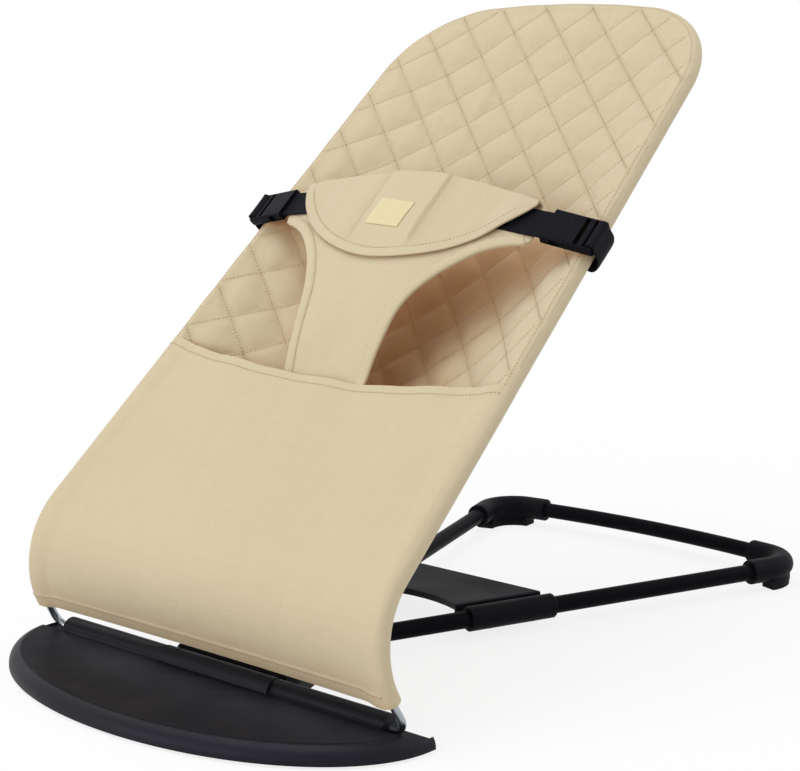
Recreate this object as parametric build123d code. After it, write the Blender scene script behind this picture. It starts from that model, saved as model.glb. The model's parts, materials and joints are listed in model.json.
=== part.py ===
from build123d import *
from math import cos, radians, sin, tan
import os

# Baby bouncer seat: a cloth sling on a bent steel frame that turns on a sprung rod,
# carried by a D-shaped foot plate in front and a V of two tubes behind.
# Millimetres, +X to the sitter's left, +Y to the rear, +Z up.

# Fits
running_gap = 0.05
slip_gap = 0.15
face_gap = 0.3
cloth_gap = 0.3

# Spring rod: one steel bar, level across the plate and bent up at both ends
rod_d = 6.0
rod_bend = 12.0
rod_reach = 95.0
pivot_z = 12.5
pivot_half_span = 183.5

# Seat frame: knee in the side rails, rails leaning in towards the round top hoop
knee_y = -41.0
knee_z = 82.6
knee_bend = 64.0
seat_angle = 41.5
side_lean = 0.07
rail_d = 10.0
hoop_corner_s = 604.0
hoop_rise = 16.0
hoop_bend = 85.0
crown_straight = 10.5
hoop_joint_s = 488.0
hoop_plug_length = 60.0

# Seat cloth
hem_height = 37.0
casing_d = 13.0
panel_thickness = 3.0
quilt_thickness = 6.0
sling_front_s = 62.0
sling_dip = 46.0
apron_top_s = 202.0
apron_top_rise = 16.0
bib_waist_half = 44.0
bib_waist_rise = 40.0
bib_foot_taper = 4.0
bib_swing_x = 24.0
bib_swing_s = 38.0
bib_shell_edge = 10.0
flap_inset = 11.0
bib_wing_half = 126.0
bib_wing_s = 338.0
bib_wing_height = 31.0
bib_crown_s = 388.0
bib_lift = 32.0
bib_edge_lift = 18.0
flap_foot_s = 301.0
tag_width = 37.0
tag_height = 26.0
tag_s = 342.0
tag_thickness = 1.0

# Side-release buckles and their webbing
webbing_width = 25.0
webbing_thickness = 1.6
buckle_s = 357.0
buckle_width = 30.0
buckle_thickness = 8.0
buckle_round = 2.5
buckle_tilt = 14.0
buckle_rise = 13.3
wing_strap_length = 8.4
wing_strap_sink = 2.0
socket_length = 19.5
clip_length = 22.5
prong_length = 16.5
prong_width = 3.6
tongue_width = 6.0
buckle_wall = 2.0
window_length = 8.0
window_setback = 4.0
slot_width = 4.0
bar_width = 4.0
strap_fold = 1.3
strap_bend = 3.0
strap_drop = 24.0
strap_tail = 46.0

# Foot plate
plate_half_width = 200.0
plate_depth = 118.0
plate_centre_y = 2.0
plate_rear_y = 10.0
plate_top = 14.5
plate_rim_round = 11.0
plate_wall = 2.5
rib_thickness = 2.0
rib_inner_x = 85.0
rib_outer_x = 130.0
rib_cross_y = -61.0
grip_height = 2.0
grip_d = 18.0
ridge_d = 19.0
ridge_setback = 2.5
ridge_skirt = 5.0
ridge_half_length = pivot_half_span - rod_bend - ridge_setback
bend_room_front = 12.0
bend_room_floor = 8.5
bearing_setback = 11.0
bearing_x = ridge_half_length - bearing_setback
bearing_length = 16.0
flange_half = 9.0
flange_thickness = 2.4

# Recline hub between the two halves of the ridge
drum_d = 20.0
drum_half_length = 44.0
drum_edge = 1.0
ear_thickness = 14.0
hood_wall = 1.6
hood_rear_y = -6.0
hub_rear_y = 24.0
hub_height = 22.0
hub_round = 4.0
hub_neck_y = 100.0
hub_tongue = 34.0
hub_cover_thickness = 2.4
hub_wall = 3.5
hub_screw_x = 35.0
hub_screw_pitch = 14.0
detent_step = 17.0
detent_count = 3
roller_d = 3.0
roller_length = 28.0
leaf_thickness = 0.8
leaf_width = 8.0
leaf_room = 2.0
drum_screw_near = 12.0
drum_screw_far = 34.0
drum_screw_rise = 5.5
drum_screw_sink = 4.5

# Rear frame
tube_d = 14.0
tube_wall = 1.3
tube_z = 17.0
corner_x = 170.0
corner_y = 535.3
leg_splay = 19.34
crossbar_splay = 8.0
leg_start_y = 92.0
socket_end_y = 142.0
socket_d = 21.0
elbow_bend = 30.0
elbow_leg_arm = 58.0
elbow_cross_arm = 55.0
elbow_stop = 40.0
pad_height = 4.0
pad_width = 16.0

# Brace across the legs
sleeve_d = 20.0
sleeve_start_y = 214.0
sleeve_end_y = 290.0
brace_inset = 11.5
brace_top = 27.0
brace_depth = 5.0
brace_wall = 2.5
brace_front_dip = 9.0
lug_width = 16.0
lug_depth = 6.0
button_d = 5.0

# Screws
screw_d = 3.0
screw_head_d = 6.0
screw_head = 1.6
screw_spare = 0.5

seat = Plane((0, knee_y, knee_z), x_dir=(1, 0, 0),
             z_dir=(0, -sin(radians(seat_angle)), cos(radians(seat_angle))))
pivot_axis = Plane((0, 0, pivot_z), x_dir=(0, 1, 0), z_dir=(1, 0, 0))
far = 1000.0


# Places on the seat and on the rear frame

def side_x(z):
    """Half-width of the seat frame at a height: the rails lean in by a fixed slope."""
    return pivot_half_span - side_lean * (z - pivot_z)


def on_seat(x, s, n=0.0):
    """World point at x across, s up the back from the knee, n above the rails."""
    return seat.from_local_coords(Vector(x, s, n))


def rail_x(s):
    """Half-width of the rails at s up the back."""
    return side_x(knee_z + s * sin(radians(seat_angle)))


def along(start, end, distance):
    """Point at a distance from start towards end."""
    return Vector(start) + (Vector(end) - Vector(start)).normalized() * distance


def pivot_point(side):
    return Vector(side * pivot_half_span, 0, pivot_z)


def knee_point(side):
    return Vector(side * side_x(knee_z), knee_y, knee_z)


def rail_point(side, s):
    return on_seat(side * rail_x(s), s)


def hem_point(side):
    """Where the casing ends, on the straight stretch of rod below the knee."""
    pivot = pivot_point(side)
    knee = knee_point(side)
    share = (hem_height - pivot_z) / (knee_z - pivot_z)
    return pivot + (knee - pivot) * share


leg_direction = Vector(sin(radians(leg_splay)), cos(radians(leg_splay)), 0)
cross_direction = Vector(-cos(radians(crossbar_splay)), sin(radians(crossbar_splay)), 0)
frame_corner = Vector(corner_x, corner_y, tube_z)
crossbar_peak = Vector(0, corner_y + corner_x * tan(radians(crossbar_splay)), tube_z)
crossbar_run = corner_x / cos(radians(crossbar_splay)) - elbow_cross_arm
crossbar_bend = (crossbar_run - 1) / tan(radians(crossbar_splay))
crossbar_rear_y = (crossbar_peak.Y - crossbar_bend / cos(radians(crossbar_splay))
                   + crossbar_bend + tube_d / 2)
plate_front_y = plate_centre_y - plate_depth
middle_y = (plate_front_y + crossbar_rear_y) / 2


def leg_point(y):
    """Point on the right leg's axis at a given y."""
    return frame_corner - leg_direction * ((corner_y - y) / leg_direction.Y)


def leg_plane(y):
    """Plane across the right leg: local x points outwards, local y up."""
    return Plane(leg_point(y), x_dir=(leg_direction.Y, -leg_direction.X, 0), z_dir=leg_direction)


# General forms

def swept(path, diameter, bore=0.0):
    """Round bar, or a tube where bore is given, along a path."""
    start = Plane(path @ 0, z_dir=path % 0)
    section = start * Circle(diameter / 2)
    if bore:
        section -= start * Circle(bore / 2)
    return sweep(section, path=path)


def rod_between(start, end, diameter, bore=0.0):
    return swept(Line(start, end), diameter, bore)


def block(x, y, z):
    """Box from three (low, high) pairs."""
    return Pos(x[0], y[0], z[0]) * Box(x[1] - x[0], y[1] - y[0], z[1] - z[0],
                                       align=(Align.MIN, Align.MIN, Align.MIN))


def across(diameter, low, high):
    """Round bar along X about the pivot axis."""
    return pivot_axis.offset(low) * extrude(Circle(diameter / 2), high - low)


def mirrored(shape):
    return mirror(shape, about=Plane.YZ)


def curved_strip(s, half_width, edge_n, middle_n, thickness):
    """Bowed strip across the seat at s, as a face to loft through."""
    with_top = ThreePointArc((-half_width, edge_n), (0, middle_n), (half_width, edge_n))
    with_foot = ThreePointArc((half_width, edge_n - thickness), (0, middle_n - thickness),
                              (-half_width, edge_n - thickness))
    ends = [Line(with_top @ 1, with_foot @ 0), Line(with_foot @ 1, with_top @ 0)]
    place = Plane(on_seat(0, s), x_dir=(1, 0, 0), z_dir=-seat.y_dir)
    return place * make_face([with_top, ends[0], with_foot, ends[1]])


def between_rails(gap):
    """Wedge of space between the leaning side rails, gap clear of their axes."""
    low = side_x(0) - gap
    high = side_x(far) - gap
    wall = Polyline((-low, 0), (low, 0), (high, far), (-high, far), close=True)
    return Pos(0, far, 0) * extrude(Plane.XZ * make_face(wall), 2 * far)


def screw(extra=0.0, length=8.0):
    """Flat-head screw pointing up from z = 0; extra widens it to cut its hole."""
    head = Cylinder(screw_head_d / 2 + extra, screw_head + extra,
                    align=(Align.CENTER, Align.CENTER, Align.MIN))
    shank = Cylinder(screw_d / 2 + extra, length + extra,
                     align=(Align.CENTER, Align.CENTER, Align.MIN))
    return head + shank


# Foot plate, its grips and the bearings of the spring rod

def plate_outline(inset=0.0):
    """D shape: half an ellipse in front and a straight rear; the inset draws in front and sides."""
    half = plate_half_width - inset
    front = EllipticalCenterArc((0, plate_centre_y), half, plate_depth - inset,
                                start_angle=180, arc_size=180)
    return make_face([front, Polyline(front @ 1, (half, plate_rear_y), (-half, plate_rear_y), front @ 0)])


def plate_slab(inset=0.0):
    """Slab with a rounded rim; the inset draws in its sides and its top for the hollow below."""
    slab = Pos(0, 0, grip_height - inset) * extrude(plate_outline(inset), plate_top - grip_height)
    rim = slab.edges().group_by(Axis.Z)[-1].sort_by(Axis.Y)[:-1]
    return fillet(rim, plate_rim_round)


def grip_places():
    """Grips under the rim: one at the nose and two down each side."""
    reach_x = plate_half_width - grip_d
    reach_y = plate_depth - grip_d
    return [Pos(reach_x * sin(radians(turn)), plate_centre_y - reach_y * cos(radians(turn)))
            for turn in (-86, -43, 0, 43, 86)]


def hub_screw_places():
    y_front = -drum_d / 2 - hub_tongue + screw_head_d
    return [Pos(x, y) for x in (-hub_screw_x, hub_screw_x) for y in (y_front, y_front + hub_screw_pitch)]


def hub_half():
    """Half-width of the room left for the hub in the ridge."""
    return drum_half_length + ear_thickness + 2 * face_gap


def plate_ridge():
    """Round ridge over the rod, with a hollow skirt down to the plate and a hood before the hub."""
    round_top = ridge_d / 2
    flat = plate_top - pivot_z
    edge = round_top * cos(radians(35)), round_top * sin(radians(35))
    foot = (-edge[0] - ridge_skirt, flat)
    bend = (-edge[0] - ridge_skirt * 0.3, flat + (edge[1] - flat) * 0.32)
    skirt = ThreePointArc((-edge[0], edge[1]), bend, foot)
    fill = Polyline(foot, (foot[0], flat - plate_wall), (0, flat - plate_wall), (0, edge[1]), skirt @ 0)
    section = make_face([skirt, fill]) + Circle(round_top)
    section &= Pos(0, far / 2 + flat - plate_wall) * Rectangle(2 * far, far)
    ridge = pivot_axis.offset(-ridge_half_length) * extrude(section, 2 * ridge_half_length)
    hood = across(drum_d + 4 * face_gap + 2 * hood_wall, -hub_half() - hood_wall, hub_half() + hood_wall)
    return ridge + (hood & block((-far, far), (-far, hood_rear_y), (plate_top - plate_wall, far)))


def foot_plate():
    under = grip_height
    floor_under = plate_top - plate_wall
    body = plate_slab()
    body -= plate_slab(plate_wall) & block((-far, far), (-far, -ridge_d / 2), (-far, far))
    half_rib = rib_thickness / 2
    ribs = [block((x - half_rib, x + half_rib), (plate_front_y, 0), (under, floor_under))
            for x in (-rib_outer_x, -rib_inner_x, rib_inner_x, rib_outer_x)]
    ribs.append(block((-far, far), (rib_cross_y - half_rib, rib_cross_y + half_rib), (under, floor_under)))
    for place in grip_places():
        ribs.append(place * Pos(0, 0, under) * Cylinder(grip_d / 2, floor_under - under,
                                                        align=(Align.CENTER, Align.CENTER, Align.MIN)))
    body += (Part() + ribs) & plate_slab(plate_wall / 2)
    body += plate_ridge()
    # Clear the bends of the rod beyond the ridge, its channel, and the hub
    bend_room = block((ridge_half_length, plate_half_width - plate_wall), (-bend_room_front, far),
                      (bend_room_floor, far))
    body -= bend_room + mirrored(bend_room)
    channel = rod_d + 2 * face_gap
    channel_end = ridge_half_length + face_gap
    body -= across(channel, -channel_end, channel_end)
    body -= block((-channel_end, channel_end), (-channel / 2, channel / 2), (0, pivot_z))
    room = drum_d / 2 + 2 * face_gap
    body -= across(2 * room, -hub_half(), hub_half())
    body -= block((-hub_half(), hub_half()), (-room, far), (0, pivot_z))
    body -= block((-hub_half(), hub_half()), (hood_rear_y, far), (0, far))
    for side in (-1, 1):
        body -= Pos(side * bearing_x, 0, under) * bearing_flange(slip_gap)
    for place in hub_screw_places():
        body -= place * Pos(0, 0, under) * screw(running_gap, floor_under + screw_spare - under)
    return body


def foot_plate_grips():
    disc = Cylinder(grip_d / 2 - 1, grip_height, align=(Align.CENTER, Align.CENTER, Align.MIN))
    return [place * disc for place in grip_places()]


def bearing_flange(extra=0.0):
    half_length = bearing_length / 2 + extra
    half_width = flange_half + extra
    return block((-half_length, half_length), (-half_width, half_width), (-extra, flange_thickness + extra))


def rod_bearing(side):
    """Saddle pushed up under the rod, with a flange in the plate's underside."""
    half = rod_d / 2 + face_gap - slip_gap
    height = pivot_z - grip_height - face_gap
    saddle = block((-bearing_length / 2, bearing_length / 2), (-half, half), (0, height))
    body = Pos(side * bearing_x, 0, grip_height) * (bearing_flange() + saddle)
    return body - across(rod_d + 2 * running_gap, -far, far)


# Recline hub: housing, cover, drum in two halves, detent roller and leaf

def hub_plan(inset=0.0):
    wide = drum_half_length + ear_thickness - inset
    neck = leg_point(hub_neck_y).X + socket_d / 2 - inset
    front = drum_d / 2 + 1 + inset
    return make_face(Polyline((-wide, front), (wide, front), (wide, hub_rear_y), (neck, hub_neck_y - inset),
                              (-neck, hub_neck_y - inset), (-wide, hub_rear_y), close=True))


def leg_socket(diameter, start_y, end_y):
    bar = rod_between(leg_point(start_y), leg_point(end_y), diameter)
    return bar + mirrored(bar)


def hub_housing():
    under = grip_height
    body = Pos(0, 0, under) * extrude(hub_plan(), hub_height - under)
    body = fillet(body.edges().group_by(Axis.Z)[-1], hub_round)
    ear_low = drum_half_length + face_gap
    ear_high = drum_half_length + ear_thickness
    for side in (-1, 1):
        low, high = sorted((side * ear_low, side * ear_high))
        body += across(drum_d, low, high)
        body += block((low, high), (-drum_d / 2, drum_d / 2 + hub_wall), (under, pivot_z))
    body += leg_socket(socket_d, leg_start_y - tube_d / 2, socket_end_y)
    floor_under = plate_top - plate_wall - slip_gap
    body += block((-ear_high, ear_high), (-drum_d / 2 - hub_tongue, -drum_d / 2 + 1), (under, floor_under))
    body -= across(drum_d + 4 * face_gap, -ear_low, ear_low)
    body -= block((-ear_low, ear_low), (-drum_d / 2, drum_d / 2), (0, pivot_z))
    body -= leg_socket(tube_d + 2 * slip_gap, leg_start_y, far)
    body -= across(rod_d + 2 * running_gap, -far, far)
    half_slot = rod_d / 2 + running_gap
    body -= block((-far, far), (-half_slot, half_slot), (0, pivot_z))
    cover_room = Pos(0, 0, under) * extrude(hub_plan(hub_round - slip_gap), hub_cover_thickness)
    body -= detent_pocket() + cover_room
    for place in hub_screw_places():
        body -= place * Pos(0, 0, under) * screw(running_gap, far)
    return body


def detent_pocket():
    half = roller_length / 2 + leaf_room
    return block((-half, half), (drum_d / 2 - leaf_room, hub_rear_y + leaf_room),
                 (grip_height, hub_height - hub_wall))


def hub_cover():
    return Pos(0, 0, grip_height) * extrude(hub_plan(hub_round), hub_cover_thickness - slip_gap)


def hub_screws():
    length = plate_top - plate_wall - grip_height
    return [place * Pos(0, 0, grip_height) * screw(0, length) for place in hub_screw_places()]


def roller_y():
    return drum_d / 2 + slip_gap + roller_d / 2


def detent_roller():
    place = Plane((-roller_length / 2, roller_y(), pivot_z), z_dir=(1, 0, 0))
    return place * extrude(Circle(roller_d / 2), roller_length)


def detent_leaf():
    """Bowed leaf behind the roller, its ends on the rear wall of the pocket."""
    front = roller_y() + roller_d / 2 + slip_gap
    back = hub_rear_y + leaf_room - slip_gap - leaf_thickness
    half = roller_length / 2
    bow = ThreePointArc((-half, back), (0, front), (half, back))
    rear = ThreePointArc((half, back + leaf_thickness), (0, front + leaf_thickness),
                         (-half, back + leaf_thickness))
    face = make_face([bow, Line(bow @ 1, rear @ 0), rear, Line(rear @ 1, bow @ 0)])
    return Pos(0, 0, pivot_z - leaf_width / 2) * extrude(face, leaf_width)


def drum_half(rear):
    """Half of the split drum that grips the middle of the spring rod."""
    drum = across(drum_d, -drum_half_length, drum_half_length)
    drum = chamfer(drum.edges().filter_by(GeomType.CIRCLE), drum_edge)
    drum -= across(rod_d + 2 * running_gap, -far, far)
    for step in range(detent_count):
        turn = radians(step * detent_step)
        groove = Plane((-far, drum_d / 2 * cos(turn), pivot_z + drum_d / 2 * sin(turn)), z_dir=(1, 0, 0))
        drum -= groove * extrude(Circle(roller_d / 2 - 2 * slip_gap), 2 * far)
    sink = Cylinder(screw_head_d / 2 + running_gap, far, align=(Align.CENTER, Align.CENTER, Align.MAX))
    for place in drum_screw_places():
        drum -= place * (screw(running_gap, drum_screw_length() + screw_spare) + sink)
    keep = block((-far, far), (0, far), (-far, far))
    return drum & keep if rear else drum - keep


def drum_screw_places():
    """Screws sunk into the front half of the drum, above the rod."""
    return [Pos(x, -drum_screw_sink, pivot_z + drum_screw_rise) * Rot(X=-90)
            for x in (-drum_screw_far, -drum_screw_near, drum_screw_near, drum_screw_far)]


def drum_screw_length():
    return drum_d / 2 + screw_spare


def drum_screws():
    return [place * screw(0, drum_screw_length()) for place in drum_screw_places()]


# Rear frame

def button_places():
    """Snap buttons under the sleeve, one in each half of the leg."""
    middle = (sleeve_start_y + sleeve_end_y) / 2
    quarter = (sleeve_end_y - sleeve_start_y) / 4
    return (middle - quarter, middle + quarter)


def button(y, extra=0.0):
    place = leg_point(y)
    low = tube_z - sleeve_d / 2 - extra
    high = tube_z - tube_d / 2 + 2 * tube_wall
    return Pos(place.X, place.Y, low) * Cylinder(button_d / 2 + extra, high - low,
                                                 align=(Align.CENTER, Align.CENTER, Align.MIN))


def leg_tube(front):
    """Front or rear half of the right leg; the halves meet inside the brace sleeve."""
    middle = (sleeve_start_y + sleeve_end_y) / 2
    if front:
        start, end = leg_point(leg_start_y + face_gap), leg_point(middle - face_gap)
    else:
        start, end = leg_point(middle + face_gap), frame_corner - leg_direction * (elbow_stop + face_gap)
    tube = rod_between(start, end, tube_d, tube_d - 2 * tube_wall)
    for y in button_places():
        tube -= button(y, slip_gap)
    return tube


def tube_snap_buttons():
    right = [button(y) for y in button_places()]
    return right + [mirrored(piece) for piece in right]


def brace_sleeve():
    """Sleeve on the right leg with a lug on its inner side for the cross plate."""
    length = (sleeve_end_y - sleeve_start_y) / leg_direction.Y
    sleeve = rod_between(leg_point(sleeve_start_y), leg_point(sleeve_end_y), sleeve_d)
    sleeve = chamfer(sleeve.edges().filter_by(GeomType.CIRCLE), 1)
    lug_top = brace_top - brace_depth
    reach = brace_inset + lug_width - 3
    lug = leg_plane(sleeve_start_y) * Pos(-reach / 2, lug_top - tube_z - lug_depth / 2, length / 2) * Box(
        reach, lug_depth, length - 6)
    sleeve += lug
    sleeve -= rod_between(leg_point(sleeve_start_y - 1), leg_point(sleeve_end_y + 1), tube_d + 2 * slip_gap)
    for y in button_places():
        sleeve -= button(y, slip_gap)
    for place in brace_screw_places():
        sleeve -= place * screw(running_gap, far)
    return sleeve


def brace_screw_places():
    """Screws through the right lug, up into the bosses of the cross plate."""
    lug_foot = brace_top - brace_depth - lug_depth
    inset = brace_inset + lug_width / 2
    places = []
    for y in button_places():
        spot = leg_point(y) - Vector(leg_direction.Y, -leg_direction.X, 0) * inset
        places.append(Pos(spot.X, spot.Y, lug_foot))
    return places


def brace_outline(inset=0.0):
    """Cross plate between the legs, its front edge hollowed."""
    side_front = leg_point(sleeve_start_y).X - brace_inset / leg_direction.Y - inset
    side_rear = leg_point(sleeve_end_y).X - brace_inset / leg_direction.Y - inset
    front_y = sleeve_start_y + inset
    rear_y = sleeve_end_y - inset
    front = ThreePointArc((-side_front, front_y), (0, front_y + brace_front_dip), (side_front, front_y))
    return make_face([front, Polyline((side_front, front_y), (side_rear, rear_y), (-side_rear, rear_y),
                                      (-side_front, front_y))])


def cross_plate():
    lug_top = brace_top - brace_depth
    plate = Pos(0, 0, lug_top) * extrude(brace_outline(), brace_depth)
    plate = fillet(plate.edges().group_by(Axis.Z)[-1], 1.5)
    hollow = extrude(brace_outline(brace_wall), brace_top - brace_wall)
    for place in brace_screw_places():
        boss = place * Cylinder(screw_head_d / 2, 2 * brace_top)
        hollow -= boss + mirrored(boss)
    plate -= hollow
    for place in brace_screw_places():
        hole = place * screw(running_gap, lug_depth + brace_depth - brace_wall + screw_spare)
        plate -= hole + mirrored(hole)
    return plate


def cross_plate_screws():
    right = [place * screw(0, lug_depth + brace_depth - brace_wall) for place in brace_screw_places()]
    return right + [mirrored(piece) for piece in right]


def rear_crossbar():
    reach = corner_x / cos(radians(crossbar_splay)) - elbow_stop - face_gap
    end = crossbar_peak - cross_direction * reach
    other = Vector(-end.X, end.Y, end.Z)
    return swept(FilletPolyline(end, crossbar_peak, other, radius=crossbar_bend),
                 tube_d, tube_d - 2 * tube_wall)


def elbow_path():
    return FilletPolyline(frame_corner - leg_direction * elbow_leg_arm, frame_corner,
                          frame_corner + cross_direction * elbow_cross_arm, radius=elbow_bend)


def elbow_bend_slab(width, low, high):
    """Flat-bottomed slab that follows the bend of the elbow."""
    bend = elbow_path().edges().filter_by(GeomType.CIRCLE)[0]
    start = Plane(bend @ 0, x_dir=(0, 0, 1), z_dir=bend % 0)
    section = start * Pos((low + high) / 2 - tube_z, 0) * Rectangle(high - low, width)
    return sweep(section, path=bend)


def corner_elbow():
    """Right rear elbow with blind sockets for the leg and the crossbar."""
    elbow = swept(elbow_path(), socket_d)
    elbow = fillet(elbow.faces().filter_by(GeomType.PLANE).edges(), 1)
    elbow += elbow_bend_slab(pad_width, pad_height, tube_z)
    bore = tube_d + 2 * slip_gap
    elbow -= rod_between(frame_corner - leg_direction * elbow_stop, leg_point(0), bore)
    elbow -= rod_between(frame_corner + cross_direction * elbow_stop,
                         frame_corner + cross_direction * far, bore)
    return elbow


def corner_foot():
    return elbow_bend_slab(pad_width - 1, 0, pad_height)


# Seat frame

def spring_rod():
    path = FilletPolyline(rail_point(-1, rod_reach), knee_point(-1), pivot_point(-1),
                          pivot_point(1), knee_point(1), rail_point(1, rod_reach),
                          radius=(knee_bend, rod_bend, rod_bend, knee_bend))
    return swept(path, rod_d)


def side_rail(side):
    path = FilletPolyline(hem_point(side), knee_point(side), rail_point(side, hoop_joint_s - face_gap / 2),
                          radius=knee_bend)
    return swept(path, rail_d, rod_d + 2 * slip_gap)


def hoop_points():
    corner = [rail_point(side, hoop_corner_s) for side in (-1, 1)]
    return corner[0], on_seat(0, hoop_corner_s + hoop_rise), corner[1]


def crown_bend():
    """Radius of the bend at the crown that leaves a short straight to each corner of the hoop."""
    half = rail_x(hoop_corner_s)
    rail = Vector(-side_lean * sin(radians(seat_angle)), 1)
    crown = Vector(-half, hoop_rise)
    corner = hoop_bend * tan(radians(rail.get_angle(crown)) / 2)
    return (crown.length - corner - crown_straight) * half / hoop_rise


def top_hoop():
    path = FilletPolyline(rail_point(-1, hoop_joint_s + face_gap / 2), *hoop_points(),
                          rail_point(1, hoop_joint_s + face_gap / 2),
                          radius=(hoop_bend, crown_bend(), hoop_bend))
    return swept(path, rail_d, rod_d + 2 * slip_gap)


def hoop_plug(side):
    half = hoop_plug_length / 2
    return rod_between(rail_point(side, hoop_joint_s - half), rail_point(side, hoop_joint_s + half), rod_d)


# Seat cloth

def edge_casing():
    """Cloth sleeve sewn round the whole frame, from hem to hem."""
    path = FilletPolyline(hem_point(-1), knee_point(-1), *hoop_points(), knee_point(1), hem_point(1),
                          radius=(knee_bend, hoop_bend, crown_bend(), hoop_bend, knee_bend))
    return swept(path, casing_d, rail_d + 2 * cloth_gap)


def cloth_reach():
    """Distance from a rail's axis to the edge of the cloth sewn to its casing."""
    return casing_d / 2 + cloth_gap


def back_outline():
    """Plan of the frame in the plane of the seat, inside its casing."""
    corner = rail_x(hoop_corner_s)
    low = rail_x(0)
    hoop = FilletPolyline((-low, 0), (-corner, hoop_corner_s), (0, hoop_corner_s + hoop_rise),
                          (corner, hoop_corner_s), (low, 0), radius=(hoop_bend, crown_bend(), hoop_bend))
    return offset(make_face([*hoop.edges(), Line((low, 0), (-low, 0))]), -cloth_reach())


def on_plan(face):
    """Column of space over an outline drawn on the plane of the seat."""
    return seat * Pos(0, 0, -far / 2) * extrude(face, far)


def beyond_apron_edge(s):
    """Outline between the apron's top edge and a line across the seat at s."""
    wide = rail_x(apron_top_s)
    side_s = apron_top_s + apron_top_rise
    edge = ThreePointArc((-wide, side_s), (0, apron_top_s), (wide, side_s))
    return make_face([edge, Polyline(edge @ 1, (wide, s), (-wide, s), edge @ 0)])


def seat_back():
    """Quilted sling: a hollow that is deepest under the sitter and shallow at the crown."""
    stations = ((0, 0.10), (0.10, 0.55), (0.25, 1.0), (0.42, 0.92), (0.60, 0.62), (0.80, 0.32), (1.0, 0.02))
    length = hoop_corner_s + hoop_rise - sling_front_s
    edge = quilt_thickness / 2
    strips = []
    for share, dip in stations:
        s = sling_front_s + share * length
        strips.append(curved_strip(s, rail_x(s), edge, edge - dip * sling_dip, quilt_thickness))
    body = loft(strips)
    return body & on_plan(back_outline())


def apron():
    """Plain front panel over the knee, from the hem to the leg openings."""
    path = FilletPolyline((0, *tuple(hem_point(1))[1:]), (0, knee_y, knee_z),
                          on_seat(0, apron_top_s + apron_top_rise), radius=knee_bend)
    start = Plane(path @ 0, x_dir=(1, 0, 0), z_dir=path % 0)
    lift = casing_d / 2 - panel_thickness / 2
    panel = sweep(start * Pos(0, -lift) * Rectangle(2 * pivot_half_span, panel_thickness), path=path)
    panel &= between_rails(cloth_reach())
    return panel - on_plan(beyond_apron_edge(far))


def bib_shell(raise_by, thickness):
    """Bowed sheet over the sitter, rising from the apron to the chest."""
    stations = ((apron_top_s - 8, 0.12, 0.3), (apron_top_s + 50, 0.6, 0.7), (bib_wing_s - 20, 0.97, 0.97),
                (bib_crown_s + 4, 1.0, 1.0))
    strips = []
    for s, middle, edge in stations:
        strips.append(curved_strip(s, bib_wing_half + bib_shell_edge, edge * bib_edge_lift + raise_by,
                                   middle * bib_lift + raise_by + 1, thickness))
    return loft(strips)


def bib():
    """Crotch panel that widens into two wings; the leg openings are left at its sides."""
    foot = apron_top_s + cloth_gap
    top_corner = bib_wing_s + bib_wing_height
    crown = ThreePointArc((bib_wing_half, top_corner), (0, bib_crown_s), (-bib_wing_half, top_corner))
    swing = (bib_waist_half + bib_swing_x, bib_wing_s - bib_swing_s)
    waist = foot + bib_waist_rise
    right = ThreePointArc((bib_waist_half, waist), swing, (bib_wing_half, bib_wing_s))
    left = ThreePointArc((-bib_wing_half, bib_wing_s), (-swing[0], swing[1]), (-bib_waist_half, waist))
    base_half = bib_waist_half - bib_foot_taper
    base = Polyline(left @ 1, (-base_half, foot), (base_half, foot), right @ 0)
    face = make_face([base, right, Line(right @ 1, crown @ 0), crown, Line(crown @ 1, left @ 0), left])
    shape = bib_shell(0, panel_thickness) & on_plan(face)
    return shape - on_plan(Pos(0, cloth_gap) * beyond_apron_edge(0))


def bib_flap():
    """Turned-down top of the bib: a round-ended flap lying on it."""
    half = bib_wing_half - flap_inset
    top_corner = bib_wing_s + bib_wing_height - 1
    foot = ThreePointArc((-half, top_corner), (0, flap_foot_s), (half, top_corner))
    crown = ThreePointArc((half, top_corner), (0, bib_crown_s), (-half, top_corner))
    return bib_shell(panel_thickness + cloth_gap, panel_thickness) & on_plan(make_face([foot, crown]))


def blank_tag():
    patch = Pos(0, tag_s) * RectangleRounded(tag_width, tag_height, 1.5)
    lift = panel_thickness + 2 * cloth_gap + tag_thickness
    return bib_shell(lift, tag_thickness) & on_plan(patch)


# Buckles, right side: drawn along x from the inner end of the socket, tilted over the rail

def buckle_frame():
    """Plane of the buckle: x outwards along it, y up the back, its origin over the rail."""
    over_rail = on_seat(rail_x(buckle_s), buckle_s, buckle_rise)
    lean = radians(buckle_tilt)
    return Plane(over_rail, x_dir=Vector(1, 0, 0) * cos(lean) - seat.z_dir * sin(lean),
                 z_dir=Vector(1, 0, 0) * sin(lean) + seat.z_dir * cos(lean))


def buckle_start():
    """Inner end of the socket, along the buckle from the rail."""
    return (bib_wing_half + wing_strap_length - rail_x(buckle_s)) / cos(radians(buckle_tilt))


def clip_start():
    return buckle_start() + socket_length + face_gap


def on_buckle(x, y, z):
    """Box in the buckle's frame from three (low, high) pairs."""
    return buckle_frame() * block(x, y, z)


def buckle_body(start, end):
    half = buckle_width / 2
    level = buckle_thickness / 2
    body = block((start, end), (-half, half), (-level, level))
    return buckle_frame() * fillet(body.edges().filter_by(Axis.X), buckle_round)


def bib_webbing():
    """Short strap end between the bib's wing and the buckle's socket."""
    half = webbing_width / 2
    start = buckle_start() - wing_strap_length + cloth_gap
    return on_buckle((start, buckle_start() - cloth_gap), (-half, half),
                     (-wing_strap_sink, webbing_thickness - wing_strap_sink))


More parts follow.
